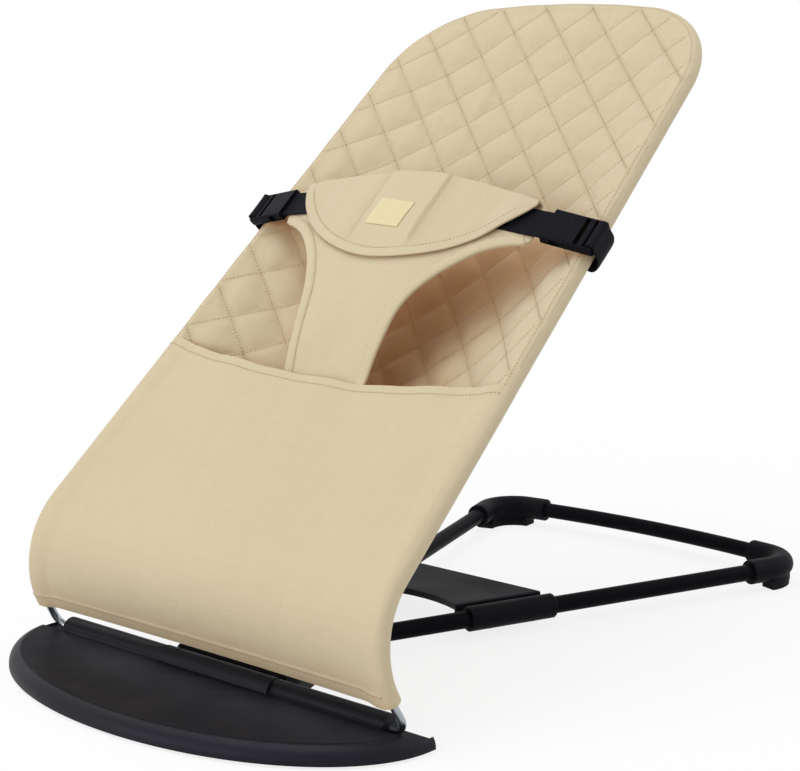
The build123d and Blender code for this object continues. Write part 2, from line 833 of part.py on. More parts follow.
def buckle_socket():
    half = buckle_width / 2
    level = buckle_thickness / 2
    end = buckle_start() + socket_length
    inside = half - buckle_wall
    body = buckle_body(buckle_start(), end)
    body -= on_buckle((end - prong_length - 1, end + 1), (-inside, inside),
                      (buckle_wall - level, level - buckle_wall))
    window_end = end - window_setback
    for low, high in ((-far, 1 - inside), (inside - 1, far)):
        body -= on_buckle((window_end - window_length, window_end), (low, high), (1 - level, level - 1))
    return body


def buckle_clip():
    """Clip with a guide tongue, two side prongs and a ladder of bars for the strap."""
    half = buckle_width / 2
    level = buckle_thickness / 2 - buckle_wall - face_gap
    start = clip_start()
    end = start + clip_length
    body = buckle_body(start, end)
    slot_half = half - buckle_wall
    outer_slot = end - bar_width - slot_width
    for x in (outer_slot - bar_width - slot_width, outer_slot):
        body -= on_buckle((x, x + slot_width), (-slot_half, slot_half), (-far, far))
    reach = half - buckle_wall - face_gap
    fingers = ((-reach, prong_width), (-tongue_width / 2, tongue_width), (reach - prong_width, prong_width))
    for near, wide in fingers:
        body += on_buckle((start - prong_length, start + 1), (near, near + wide), (-level, level))
    return body


def strap():
    """Webbing looped over the clip's end bar, down outside the rail and back under the sling."""
    end = clip_start() + clip_length
    lean = radians(buckle_tilt)
    layer = cloth_gap + webbing_thickness / 2
    level = buckle_thickness / 2 + layer
    inner = end - bar_width - layer
    bar = ((inner, -level), (inner, level), (end + layer, level), (end + layer, 0))
    loop = [(x * cos(lean) + z * sin(lean), buckle_rise - x * sin(lean) + z * cos(lean)) for x, z in bar]
    clear = casing_d / 2 + webbing_thickness + 6 * cloth_gap
    outside = max(loop[-1][0] - cloth_gap, clear)
    loop += [(outside, 0), (0, -clear - strap_drop / 6), (-strap_tail, -strap_drop)]
    band = trace(FilletPolyline(*loop[:4], radius=strap_fold), webbing_thickness)
    band += trace(FilletPolyline(*loop[3:], radius=strap_bend), webbing_thickness)
    upper_edge = on_seat(rail_x(buckle_s), buckle_s + webbing_width / 2)
    place = Plane(upper_edge, x_dir=(1, 0, 0), z_dir=-seat.y_dir)
    return extrude(place * band, webbing_width)


def both_sides(name, right):
    """The right-hand piece and its mirror image, named for their sides."""
    return {name + "_right": right, name + "_left": mirrored(right)}


def make_parts():
    parts = {
        "foot_plate": foot_plate(), "foot_plate_grips": foot_plate_grips(),
        "hub_housing": hub_housing(), "hub_cover": hub_cover(), "hub_screws": hub_screws(),
        "detent_roller": detent_roller(), "detent_leaf": detent_leaf(),
        "recline_drum": drum_half(True), "drum_clamp": drum_half(False), "drum_screws": drum_screws(),
        "cross_plate": cross_plate(), "cross_plate_screws": cross_plate_screws(),
        "tube_snap_buttons": tube_snap_buttons(), "rear_crossbar": rear_crossbar(),
        "spring_rod": spring_rod(), "top_hoop": top_hoop(), "edge_casing": edge_casing(),
        "seat_back": seat_back(), "apron": apron(), "bib": bib(), "bib_flap": bib_flap(),
        "blank_tag": blank_tag(),
    }
    for name, right in (("rod_bearing", rod_bearing(1)), ("leg_front", leg_tube(True)),
                        ("leg_rear", leg_tube(False)), ("brace_sleeve", brace_sleeve()),
                        ("corner_elbow", corner_elbow()), ("corner_foot", corner_foot()),
                        ("side_rail", side_rail(1)), ("hoop_plug", hoop_plug(1)),
                        ("bib_webbing", bib_webbing()), ("buckle_socket", buckle_socket()),
                        ("buckle_clip", buckle_clip()), ("buckle_strap", strap())):
        parts.update(both_sides(name, right))
    return parts


def main():
    os.makedirs("parts", exist_ok=True)
    shift = Pos(0, -middle_y, 0)
    for name, shape in make_parts().items():
        pieces = shape if isinstance(shape, list) else [shape]
        solids = [solid for piece in pieces for solid in (shift * piece).solids()]
        export_step(solids[0] if len(solids) == 1 else Compound(solids), f"parts/{name}.step")


main()
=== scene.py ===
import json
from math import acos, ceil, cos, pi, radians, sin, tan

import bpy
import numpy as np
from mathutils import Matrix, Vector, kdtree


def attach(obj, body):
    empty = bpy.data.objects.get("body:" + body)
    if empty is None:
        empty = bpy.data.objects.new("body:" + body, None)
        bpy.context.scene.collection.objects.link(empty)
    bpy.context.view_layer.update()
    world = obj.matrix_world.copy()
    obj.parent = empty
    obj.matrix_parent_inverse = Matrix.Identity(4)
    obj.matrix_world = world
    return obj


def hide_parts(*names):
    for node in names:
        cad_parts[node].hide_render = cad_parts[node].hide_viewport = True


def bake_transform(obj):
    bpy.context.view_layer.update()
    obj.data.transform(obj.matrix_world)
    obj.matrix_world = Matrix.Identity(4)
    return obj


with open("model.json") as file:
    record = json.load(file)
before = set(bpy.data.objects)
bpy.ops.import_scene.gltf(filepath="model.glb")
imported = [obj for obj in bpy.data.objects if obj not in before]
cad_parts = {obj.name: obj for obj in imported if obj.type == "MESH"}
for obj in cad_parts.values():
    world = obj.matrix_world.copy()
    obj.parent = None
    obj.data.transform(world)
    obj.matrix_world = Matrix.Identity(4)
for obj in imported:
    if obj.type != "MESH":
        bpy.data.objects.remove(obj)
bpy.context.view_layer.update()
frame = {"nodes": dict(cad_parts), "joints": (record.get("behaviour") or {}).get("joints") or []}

# %% [markdown]
# # A baby bouncer seat
# A quilted cotton sling hangs on a bent steel frame. The frame turns on a sprung rod in a black
# foot plate, and two black tubes run back from the plate to keep the seat from tipping.
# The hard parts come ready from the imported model. This lesson sews the soft ones around them
# and gives every surface its finish. The first cell measures what was loaded.

nodes = frame["nodes"]
MM = 0.001
recline = next(joint for joint in frame["joints"] if joint["name"] == "recline")
pivot_place = np.array([0.0, recline["pos_m"][1], 0.0])

# %% [markdown]
# ## The camera
# A product photograph is taken with a long lens from a little above the seat. The camera is
# turned by its azimuth round the object and its elevation above the floor, and it has no roll.

# %% Camera
CAMERA_PLACE = (1.02022, -1.16968, 0.47804)
CAMERA_AZIMUTH = 41.648
CAMERA_ELEVATION = 10.25
LENS = 89.024


def add_object(name, data):
    """Object in the scene from a mesh, a lamp or a camera."""
    thing = bpy.data.objects.new(name, data)
    bpy.context.scene.collection.objects.link(thing)
    return thing


camera_data = bpy.data.cameras.new("studio_camera")
camera_data.lens = LENS
camera_data.sensor_width = 36.0
camera = add_object("studio_camera", camera_data)
camera.location = CAMERA_PLACE
camera.rotation_euler = (radians(90 - CAMERA_ELEVATION), 0, radians(CAMERA_AZIMUTH))
bpy.context.scene.camera = camera
bpy.context.scene.view_settings.view_transform = "Standard"
print("camera at", CAMERA_PLACE, "lens", LENS)

# %% [markdown]
# ## Shader building blocks
# Materials here are small node trees. A few helpers keep them short: they start a material or a node
# group, add a node with its values and links, and give back what comes out of it. A group holds an
# effect that several finishes share, such as a weave or worn edges, and puts out masks and heights,
# while the shader stays in the material.

# %% Helpers for materials and node groups
def new_material(name):
    """Material with its node tree and its Principled shader."""
    material = bpy.data.materials.new(name)
    material.use_nodes = True
    return material, material.node_tree, material.node_tree.nodes["Principled BSDF"]


def fill(tree, node, inputs):
    """Inputs of a node filled, each with a value or a link to a socket; returns the node's outputs."""
    for key, value in inputs.items():
        if isinstance(value, bpy.types.NodeSocket):
            tree.links.new(value, node.inputs[key])
        else:
            node.inputs[key].default_value = value
    return node.outputs


def add_node(tree, kind, inputs=None, **settings):
    """Outputs of a new node with its settings made and its inputs filled."""
    node = tree.nodes.new("ShaderNode" + kind)
    for key, value in settings.items():
        setattr(node, key, value)
    return fill(tree, node, inputs or {})


def maths(tree, operation, first, second=0.0):
    """Output of a Math node."""
    return add_node(tree, "Math", {0: first, 1: second}, operation=operation)[0]


def mixed(tree, share, first, second):
    """Colour between two colours."""
    return add_node(tree, "Mix", {"Factor": share, "A": first, "B": second}, data_type="RGBA")["Result"]


def ranged(tree, value, low, high, start=0.0, end=1.0):
    """Value moved from one range to another, clamped."""
    ranges = {"From Min": low, "From Max": high, "To Min": start, "To Max": end}
    return add_node(tree, "MapRange", {"Value": value, **ranges})["Result"]


def object_place(tree):
    return add_node(tree, "TexCoord")["Object"]


def noise(tree, place, scale, detail, distortion=0.0, stretch=None):
    """Cloudy noise, finer along the directions that stretch multiplies."""
    if stretch is not None:
        place = add_node(tree, "VectorMath", {0: place, 1: stretch}, operation="MULTIPLY")[0]
    values = {"Vector": place, "Scale": scale, "Detail": detail, "Distortion": distortion}
    return add_node(tree, "TexNoise", values)["Fac"]


def bumped(tree, height, strength, distance, **normal):
    """Normal bent by a height."""
    values = {"Strength": strength, "Distance": distance, "Height": height, **normal}
    return add_node(tree, "Bump", values)[0]


def new_group(name, inputs, outputs):
    """Node group with named sockets; returns the tree, its inputs and its output node."""
    tree = bpy.data.node_groups.new(name, "ShaderNodeTree")
    for label, kind, value in inputs:
        socket = tree.interface.new_socket(name=label, in_out="INPUT", socket_type="NodeSocket" + kind)
        if value is not None:
            socket.default_value = value
    for label, kind in outputs:
        tree.interface.new_socket(name=label, in_out="OUTPUT", socket_type="NodeSocket" + kind)
    entry = tree.nodes.new("NodeGroupInput")
    leave = tree.nodes.new("NodeGroupOutput")
    return tree, entry.outputs, leave


def place_group(tree, group, **values):
    """Outputs of a group placed in a material with its own values."""
    return add_node(tree, "Group", values, node_tree=group)


def colour(red, green, blue):
    return (red, green, blue, 1.0)


print("shader helpers ready")

# %% [markdown]
# ## Woven threads
# A plain weave passes each thread over one neighbour and under the next. Two sets of ridges are
# crossed, and a checker of the same pitch says which set lies on top. Long streaks of noise along
# the threads stand for slubs, the thicker places in a cotton yarn. The threads follow coordinates
# that each sewn piece stores on its own points, so they bend with the cloth.

# %% Group: woven threads
weave_group, entry, leave = new_group(
    "woven threads",
    [("Cloth", "Vector", None), ("Pitch", "Float", 0.0008), ("Slub", "Float", 0.5)],
    [("Height", "Float"), ("Shade", "Float")])
ways = add_node(weave_group, "SeparateXYZ", {0: entry["Cloth"]})
turns = [maths(weave_group, "MULTIPLY", maths(weave_group, "DIVIDE", way, entry["Pitch"]), pi)
         for way in (ways[0], ways[1])]
waves = [maths(weave_group, "SINE", turn) for turn in turns]
over = ranged(weave_group, maths(weave_group, "MULTIPLY", *waves), -0.4, 0.4)
warp = maths(weave_group, "ABSOLUTE", waves[0])
weft = maths(weave_group, "ABSOLUTE", waves[1])
lean = maths(weave_group, "MULTIPLY", maths(weave_group, "SUBTRACT", warp, weft), over)
height = maths(weave_group, "ADD", weft, lean)
streaks = [noise(weave_group, entry["Cloth"], 1.0, 2.0, stretch=stretch)
           for stretch in ((220, 9, 1), (9, 220, 1))]
slubs = maths(weave_group, "MULTIPLY", maths(weave_group, "ADD", *streaks), entry["Slub"])
fill(weave_group, leave, {"Height": height, "Shade": ranged(weave_group, slubs, 0.3, 0.7)})
print("group:", weave_group.name)

# %% [markdown]
# ## Soft creases
# Cloth that has been folded and sat in keeps shallow creases. They are long in one direction, so a
# noise is stretched before it is read, and its middle value is folded into a ridge.

# %% Group: soft creases
crease_group, entry, leave = new_group(
    "soft creases", [("Cloth", "Vector", None)], [("Height", "Float")])
ridges = []
for stretch, scale in (((16, 6, 1), 1.0), ((9, 22, 1), 0.5)):
    cloud = noise(crease_group, entry["Cloth"], 1.0, 2.5, 0.8, stretch)
    ridge = maths(crease_group, "ABSOLUTE", maths(crease_group, "SUBTRACT", cloud, 0.5))
    ridges.append(maths(crease_group, "MULTIPLY", ridge, scale))
fill(crease_group, leave, {"Height": maths(crease_group, "ADD", *ridges)})
print("group:", crease_group.name)

# %% [markdown]
# ## Moulded grain, worn edges and hand marks
# Black plastic is never one flat black. Its mould leaves a fine grain, its edges are rubbed a
# little lighter and smoother, and hands leave soft patches of another gloss. The edge mask
# compares the true normal with one rounded over a small radius: they differ only near an edge.

# %% Groups: moulded grain, worn edges, hand marks
grain_group, entry, leave = new_group(
    "moulded grain", [("Scale", "Float", 900.0)], [("Height", "Float")])
place = object_place(grain_group)
fine = add_node(grain_group, "TexVoronoi",
                {"Vector": place, "Scale": entry["Scale"], "Smoothness": 0.6}, feature="SMOOTH_F1")
coarse = noise(grain_group, place, 260.0, 3.0)
fill(grain_group, leave, {"Height": maths(grain_group, "ADD", fine["Distance"], coarse)})

edge_group, entry, leave = new_group("worn edges", [("Amount", "Float", 0.5)], [("Mask", "Float")])
round_normal = add_node(edge_group, "Bevel", {"Radius": 0.0012}, samples=4)["Normal"]
true_normal = add_node(edge_group, "NewGeometry")["Normal"]
same = add_node(edge_group, "VectorMath", {0: round_normal, 1: true_normal}, operation="DOT_PRODUCT")
edge = ranged(edge_group, same["Value"], 0.99, 0.86)
patches = noise(edge_group, object_place(edge_group), 70.0, 4.0)
rubbed = maths(edge_group, "MULTIPLY", edge, ranged(edge_group, patches, 0.35, 0.65))
fill(edge_group, leave, {"Mask": maths(edge_group, "MULTIPLY", rubbed, entry["Amount"])})

marks_group, entry, leave = new_group(
    "hand marks", [("Scale", "Float", 14.0)], [("Mask", "Float")])
clouds = noise(marks_group, object_place(marks_group), entry["Scale"], 5.0, 0.6)
fill(marks_group, leave, {"Mask": ranged(marks_group, clouds, 0.35, 0.68)})
print("groups:", grain_group.name, edge_group.name, marks_group.name)

# %% [markdown]
# ## Cotton
# The cover is a warm sand-coloured cotton, dry, with a little fuzz at grazing angles. The same recipe
# makes the plain panels, the quilt, the tag and the thread. Where pieces store an amount of painted
# shade, the colour darkens towards a seam colour: painted shade along seams and beside folds. In a
# sheltered hollow the colour is painted a warm brown: painted shade with the warmth of light that has
# bounced off more cloth. An ambient occlusion node finds those places.

# %% Cotton materials
SAND = (0.560, 0.474, 0.316)
SAND_DEEP = (0.490, 0.404, 0.258)
# Colours of painted shade: first for seams and folds, then for sheltered hollows.
SEAM_SHADE = (0.360, 0.275, 0.155)
HOLLOW_SHADE_TINT = (0.660, 0.305, 0.100)
SHELTER_REACH = 0.11
SHELTER_RANGE = (0.72, 0.22)
CREASE_STRENGTH, CREASE_DISTANCE = 0.3, 0.012


def cotton(name, light, deep, seam, pitch=0.0009, relief=0.35, slub=0.5, shelter=0.3):
    """Dry woven cotton; the third stored coordinate paints shade in seams, hollows get painted shade."""
    material, tree, shader = new_material(name)
    stored = add_node(tree, "Attribute", attribute_name="cloth")["Vector"]
    painted_shade = add_node(tree, "SeparateXYZ", {0: stored})[2]
    weave = place_group(tree, weave_group, Cloth=stored, Pitch=pitch, Slub=slub)
    fade = place_group(tree, marks_group, Scale=9.0)
    base = mixed(tree, maths(tree, "MULTIPLY", weave["Shade"], 0.30), colour(*light), colour(*deep))
    base = mixed(tree, maths(tree, "MULTIPLY", fade["Mask"], 0.16), base, colour(*deep))
    # Painted shade: the colour darkens by the stored amount.
    base = mixed(tree, painted_shade, base, colour(*seam))
    # Painted shade in hollows: where little open sky is found, the colour turns warm brown.
    open_sky = add_node(tree, "AmbientOcclusion", {"Distance": SHELTER_REACH}, samples=6)["AO"]
    hollow = ranged(tree, open_sky, *SHELTER_RANGE, 0.0, shelter)
    creases = place_group(tree, crease_group, Cloth=stored)["Height"]
    creased = bumped(tree, creases, CREASE_STRENGTH, CREASE_DISTANCE)
    fill(tree, shader, {
        "Base Color": mixed(tree, hollow, base, colour(*HOLLOW_SHADE_TINT)),
        "Roughness": ranged(tree, weave["Shade"], 0.0, 1.0, 0.86, 0.95),
        "Normal": bumped(tree, weave["Height"], relief, 0.0003, Normal=creased),
        "Sheen Weight": 0.18, "Sheen Roughness": 0.5, "Specular IOR Level": 0.2})
    return material


cover_cotton = cotton("cover cotton", SAND, SAND_DEEP, SEAM_SHADE)
quilt_cotton = cotton("quilted cotton", SAND, SAND_DEEP, SEAM_SHADE, relief=0.3, shelter=0.9)
sewing_thread = cotton("sewing thread", (0.47, 0.385, 0.25), (0.41, 0.33, 0.205), SEAM_SHADE,
                       pitch=0.0003)
quilting_thread = cotton("quilting thread", (0.36, 0.27, 0.155), (0.30, 0.22, 0.12), SEAM_SHADE,
                         pitch=0.0003)
tag_ribbon = cotton("tag ribbon", (0.66, 0.585, 0.34), (0.60, 0.52, 0.29), (0.50, 0.42, 0.22),
                    pitch=0.0005)
print("cottons:", cover_cotton.name, quilt_cotton.name, sewing_thread.name, tag_ribbon.name)

# %% [markdown]
# ## Plastic, rubber, steel and webbing
# The plate and hub are satin polypropylene with a blue-black cast. The tubes are steel with a
# smooth black coat, the sprung rod is bare ground steel, and the straps are ribbed nylon webbing.

# %% Recipes for hard materials and webbing
def plastic(name, base, rubbed, rough, shine, grain_scale=900.0, grain_depth=0.12, wear=0.5,
            matte_top=None):
    """Moulded plastic with grain, rubbed edges, patches of gloss and, if asked, a matte upper face."""
    material, tree, shader = new_material(name)
    edge_mask = place_group(tree, edge_group, Amount=wear)["Mask"]
    hands = place_group(tree, marks_group, Scale=16.0)["Mask"]
    gloss = ranged(tree, hands, 0.0, 1.0, rough - 0.05, rough + 0.07)
    grain = place_group(tree, grain_group, Scale=grain_scale)["Height"]
    fill(tree, shader, {
        "Base Color": mixed(tree, edge_mask, colour(*base), colour(*rubbed)),
        "Roughness": maths(tree, "SUBTRACT", gloss, maths(tree, "MULTIPLY", edge_mask, 0.12)),
        "Normal": bumped(tree, grain, grain_depth, 0.0002),
        "Specular IOR Level": shine, "Specular Tint": colour(0.80, 0.85, 1.0)})
    if matte_top is not None:
        normal = add_node(tree, "NewGeometry")["Normal"]
        facing_up = add_node(tree, "SeparateXYZ", {0: normal})[2]
        fill(tree, shader, {"Specular IOR Level": ranged(tree, facing_up, 0.95, 0.99, shine, matte_top)})
    return material


def metal(name, base, stain, rough, streak):
    """Bare steel with fine drawing marks and faint stains."""
    material, tree, shader = new_material(name)
    lines = noise(tree, object_place(tree), 1.0, 3.0, stretch=streak)
    hands = place_group(tree, marks_group, Scale=30.0)["Mask"]
    fill(tree, shader, {
        "Base Color": mixed(tree, maths(tree, "MULTIPLY", hands, 0.5), colour(*base), colour(*stain)),
        "Roughness": ranged(tree, lines, 0.3, 0.7, rough - 0.06, rough + 0.10),
        "Normal": bumped(tree, lines, 0.08, 0.0002), "Metallic": 1.0})
    return material


def nylon_webbing(name, base, light):
    """Ribbed webbing: cross ribs from a coarse weave, painted highlight on rib tops, faint sheen."""
    material, tree, shader = new_material(name)
    stored = add_node(tree, "Attribute", attribute_name="cloth")["Vector"]
    weave = place_group(tree, weave_group, Cloth=stored, Pitch=0.0016, Slub=0.5)
    # Painted highlight: the raised tops of the ribs are coloured lighter.
    rib_highlight = maths(tree, "MULTIPLY", weave["Height"], 0.6)
    fill(tree, shader, {
        "Base Color": mixed(tree, rib_highlight, colour(*base), colour(*light)),
        "Roughness": ranged(tree, weave["Shade"], 0.0, 1.0, 0.55, 0.7),
        "Normal": bumped(tree, weave["Height"], 0.7, 0.0005), "Specular IOR Level": 0.06})
    return material


print("recipes: plastic, metal, nylon webbing")

# %% [markdown]
# Each recipe is used with values of its own. The blacks differ in how dark and how glossy they are: the
# plate's rim shines a little while its tray is matte, the tubes are the deepest, and rubber is dull.

# %% Hard finishes
plate_plastic = plastic("plate plastic", (0.0070, 0.0065, 0.0095), (0.020, 0.020, 0.026), 0.46, 0.17,
                        matte_top=0.032)
hub_plastic = plastic("hub plastic", (0.0064, 0.0060, 0.0082), (0.018, 0.018, 0.024), 0.50, 0.045,
                      grain_depth=0.16)
tube_coat = plastic("tube coat", (0.0050, 0.0048, 0.0068), (0.014, 0.014, 0.020), 0.40, 0.022,
                    grain_scale=1600.0, grain_depth=0.06, wear=0.3)
buckle_plastic = plastic("buckle plastic", (0.0055, 0.0053, 0.0075), (0.020, 0.020, 0.028), 0.46, 0.04,
                         grain_scale=1500.0, grain_depth=0.10)
grip_rubber = plastic("grip rubber", (0.016, 0.016, 0.018), (0.03, 0.03, 0.03), 0.72, 0.05,
                      grain_scale=700.0, grain_depth=0.30, wear=0.4)
rod_steel = metal("rod steel", (0.40, 0.44, 0.46), (0.33, 0.36, 0.38), 0.34, (400, 400, 40))
screw_steel = metal("screw steel", (0.50, 0.50, 0.50), (0.35, 0.35, 0.36), 0.30, (300, 300, 300))
webbing_nylon = nylon_webbing("webbing nylon", (0.0045, 0.0045, 0.0065), (0.011, 0.011, 0.015))
print("hard finishes:", [m.name for m in (plate_plastic, tube_coat, rod_steel, webbing_nylon)])

# %% [markdown]
# ## Finishing the hard parts
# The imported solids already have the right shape, so they only need a finish. Each node's name says
# what it is made of, and a short list of name beginnings picks the material.

# %% Give each hard part its material
FINISHES = [
    (plate_plastic, ("foot_plate", "hub_cover", "cross_plate")),
    (hub_plastic, ("hub_housing", "brace_sleeve", "corner_elbow", "rod_bearing", "recline_drum",
                   "drum_clamp")),
    (tube_coat, ("leg_", "rear_crossbar", "side_rail", "top_hoop")),
    (grip_rubber, ("foot_plate_grips", "corner_foot")),
    (rod_steel, ("spring_rod", "hoop_plug", "detent_", "tube_snap_buttons")),
    (screw_steel, ("hub_screws", "drum_screws", "cross_plate_screws")),
    (buckle_plastic, ("buckle_socket", "buckle_clip")),
    (cover_cotton, ("edge_casing", "apron", "bib", "bib_flap")),
    (quilt_cotton, ("seat_back",)),
    (webbing_nylon, ("bib_webbing", "buckle_strap")),
    (tag_ribbon, ("blank_tag",)),
]
finish_of = {}
for material, beginnings in FINISHES:
    for name in nodes:
        longest = max((len(b) for b in beginnings if name.startswith(b)), default=0)
        if longest > finish_of.get(name, (0, None))[0]:
            finish_of[name] = (longest, material)
for name, (_, material) in finish_of.items():
    nodes[name].data.materials.clear()
    nodes[name].data.materials.append(material)
print("finished nodes:", len(finish_of), "of", len(nodes))

# %% [markdown]
# ## Places on the seat
# All sewn pieces are drawn in the seat's own directions: x across, s up the back from the knee of
# the frame, and n out of the rails towards the sitter. Lengths in the sewing cells are millimetres.
# They become metres when a mesh is made; only a sheet's flat size is given in metres.

# %% Seat directions
PIVOT_Z = 12.5
PIVOT_HALF_SPAN = 183.5
KNEE_Y, KNEE_Z = -41.0, 82.6
KNEE_BEND = 64.0
SEAT_ANGLE = radians(41.5)
SIDE_LEAN = 0.07
HOOP_CORNER_S = 604.0
HOOP_RISE = 16.0
HOOP_BEND = 85.0
CROWN_BEND = 640.0
HEM_Z = 37.0
seat_normal = np.array([0.0, -sin(SEAT_ANGLE), cos(SEAT_ANGLE)])


def on_seat(x, s, n):
    """Points from seat coordinates, as an array with three numbers last."""
    x, s, n = np.broadcast_arrays(np.asarray(x, float), s, n)
    y = KNEE_Y + s * cos(SEAT_ANGLE) - n * sin(SEAT_ANGLE)
    z = KNEE_Z + s * sin(SEAT_ANGLE) + n * cos(SEAT_ANGLE)
    return np.stack([x, y, z], axis=-1)


def side_x(z):
    """Half-width of the frame at a height: both rails lean inwards."""
    return PIVOT_HALF_SPAN - SIDE_LEAN * (z - PIVOT_Z)


def rail_x(s):
    return side_x(KNEE_Z + np.asarray(s, float) * sin(SEAT_ANGLE))


print("half-width at the knee and the hoop:", [round(float(rail_x(s)), 1) for s in (0, HOOP_CORNER_S)])

# %% [markdown]
# ## Smooth lines
# Seams, rails and edges are all lines of points. A bent tube is straight runs joined by arcs, while a
# cloth edge is better as a smooth curve through a few chosen places. Every line is then spaced evenly,
# so the meshes made from it have even faces.

# %% Line helpers
def unit(v):
    return v / np.linalg.norm(v, axis=-1, keepdims=True)


def rounded(points, radii, step=2.0):
    """Straight runs joined by tangent arcs."""
    points = [np.array(p, float) for p in points]
    path = [points[0]]
    for before, corner, after, radius in zip(points, points[1:], points[2:], radii):
        into, out = unit(corner - before), unit(after - corner)
        turn = acos(float(np.clip(into @ out, -1, 1)))
        start = corner - into * radius * tan(turn / 2)
        inside = unit(out - (into @ out) * into)
        for angle in np.linspace(0, turn, max(2, ceil(radius * turn / step)) + 1):
            path.append(start + into * radius * sin(angle) + inside * radius * (1 - cos(angle)))
    path.append(points[-1])
    return np.array(path)


def run_length(path):
    """Distance along a path at each of its points."""
    return np.concatenate([[0.0], np.cumsum(np.linalg.norm(np.diff(path, axis=0), axis=1))])


def read_line(at, run, values):
    """Values stored along a line, read at some distance from its start."""
    return np.stack([np.interp(at, run, column) for column in values.T], axis=-1)


def spaced(path, step):
    """The same path with points at an even spacing."""
    run = run_length(path)
    at = np.linspace(0, run[-1], max(2, int(round(run[-1] / step))) + 1)
    return read_line(at, run, path)


def smooth_curve(at, knots, values):
    """Smooth line through a few knots, with no overshoot."""
    knots, values = np.asarray(knots, float), np.asarray(values, float)
    slopes = np.gradient(values, knots)
    chord = np.diff(values) / np.diff(knots)
    for k in range(1, len(knots) - 1):
        if chord[k - 1] * chord[k] <= 0:
            slopes[k] = 0.0
    k = np.clip(np.searchsorted(knots, at) - 1, 0, len(knots) - 2)
    width = knots[k + 1] - knots[k]
    t = np.clip((at - knots[k]) / width, 0, 1)
    return (values[k] * (1 + 2 * t) * (1 - t) ** 2 + values[k + 1] * t * t * (3 - 2 * t)
            + width * (slopes[k] * t * (1 - t) ** 2 - slopes[k + 1] * t * t * (1 - t)))


def ease(value, start, end):
    """0 before start, 1 after end, smooth between."""
    t = np.clip((np.asarray(value, float) - start) / (end - start), 0, 1)
    return t * t * (3 - 2 * t)


print("an arc of 90 degrees in", len(rounded([(0, 0), (9, 0), (9, 9)], [6])), "points")

# %% [markdown]
# ## From points to meshes
# Every sewn piece is a grid of points: rows one way, columns the other. One helper turns a grid into
# a mesh and stores the weave coordinates on its points, another adds a cloth's thickness.

# %% Mesh helpers
def make_piece(name, points, faces, material, cloth=None):
    """Object from points in millimetres; cloth holds across, along and an amount of painted shade."""
    mesh = bpy.data.meshes.new(name)
    places = np.asarray(points, float).reshape(-1, 3) * MM + pivot_place
    mesh.from_pydata(places.tolist(), [], [tuple(int(v) for v in face) for face in faces])
    mesh.shade_smooth()
    if cloth is not None:
        stored = mesh.attributes.new("cloth", "FLOAT_VECTOR", "POINT")
        scaled = np.asarray(cloth, float).reshape(-1, 3) * (MM, MM, 1.0)
        stored.data.foreach_set("vector", scaled.astype(np.float32).ravel())
    mesh.materials.append(material)
    return add_object(name, mesh)


def grid_faces(rows, columns, first=0, flip=False):
    """Quads of a grid whose points are stored row by row."""
    r, c = np.meshgrid(np.arange(rows - 1), np.arange(columns - 1), indexing="ij")
    a = first + r * columns + c
    quads = np.stack([a, a + 1, a + columns + 1, a + columns], axis=-1).reshape(-1, 4)
    return quads[:, ::-1] if flip else quads


def grid_area(grid):
    """Area of a grid of points, in square metres."""
    d1 = grid[1:, 1:] - grid[:-1, :-1]
    d2 = grid[1:, :-1] - grid[:-1, 1:]
    return float(np.linalg.norm(np.cross(d1, d2), axis=-1).sum() / 2 * MM * MM)


def cloth_coordinates(grid, painted_shade=0.0):
    """Distance across and along a grid, with an amount of painted shade."""
    across = np.cumsum(np.linalg.norm(np.diff(grid, axis=1, prepend=grid[:, :1]), axis=-1), axis=1)
    along = np.cumsum(np.linalg.norm(np.diff(grid, axis=0, prepend=grid[:1]), axis=-1), axis=0)
    across = across - across[:, across.shape[1] // 2][:, None]
    middle = along[:, along.shape[1] // 2][:, None] + 0 * along
    return np.stack([across, middle, painted_shade + 0 * along], axis=-1)


def cloth_piece(name, grid, thickness, material, painted_shade=0.0, edge=0.5):
    """Sheet with a thickness behind its grid and softly rounded edges."""
    piece = make_piece(name, grid, grid_faces(*grid.shape[:2]), material,
                       cloth_coordinates(grid, painted_shade))
    solid = piece.modifiers.new("thickness", "SOLIDIFY")
    solid.thickness = thickness * MM
    solid.offset = -1.0
    soft = piece.modifiers.new("soft edge", "BEVEL")
    soft.width = edge * MM
    soft.segments = 2
    soft.angle_limit = radians(60)
    return piece


print("mesh helpers ready")

# %% [markdown]
# ## Stitches
# A row of stitches is what tells the eye that cloth is sewn. Each stitch is a little grain of
# thread, pointed at both ends where it dives into the cloth. A row follows any line of points.

# %% Stitch rows
STITCH_PITCH = 3.2
STITCH_LENGTH = 2.0
STITCH_WIDTH = 0.7


def stitch_shape():
    """Points and faces of one stitch: two tips and two rings of four."""
    ring = [(0.5, 0), (0, 0.5), (-0.5, 0), (0, -0.5)]
    points = [(-0.5, 0, -0.35), (0.5, 0, -0.35)]
    for end in (-0.3, 0.3):
        points += [(end, side, up) for side, up in ring]
    faces = []
    for k in range(4):
        j = (k + 1) % 4
        faces += [(2 + k, 2 + j, 6 + j, 6 + k), (0, 2 + j, 2 + k), (1, 6 + k, 6 + j)]
    return np.array(points), faces


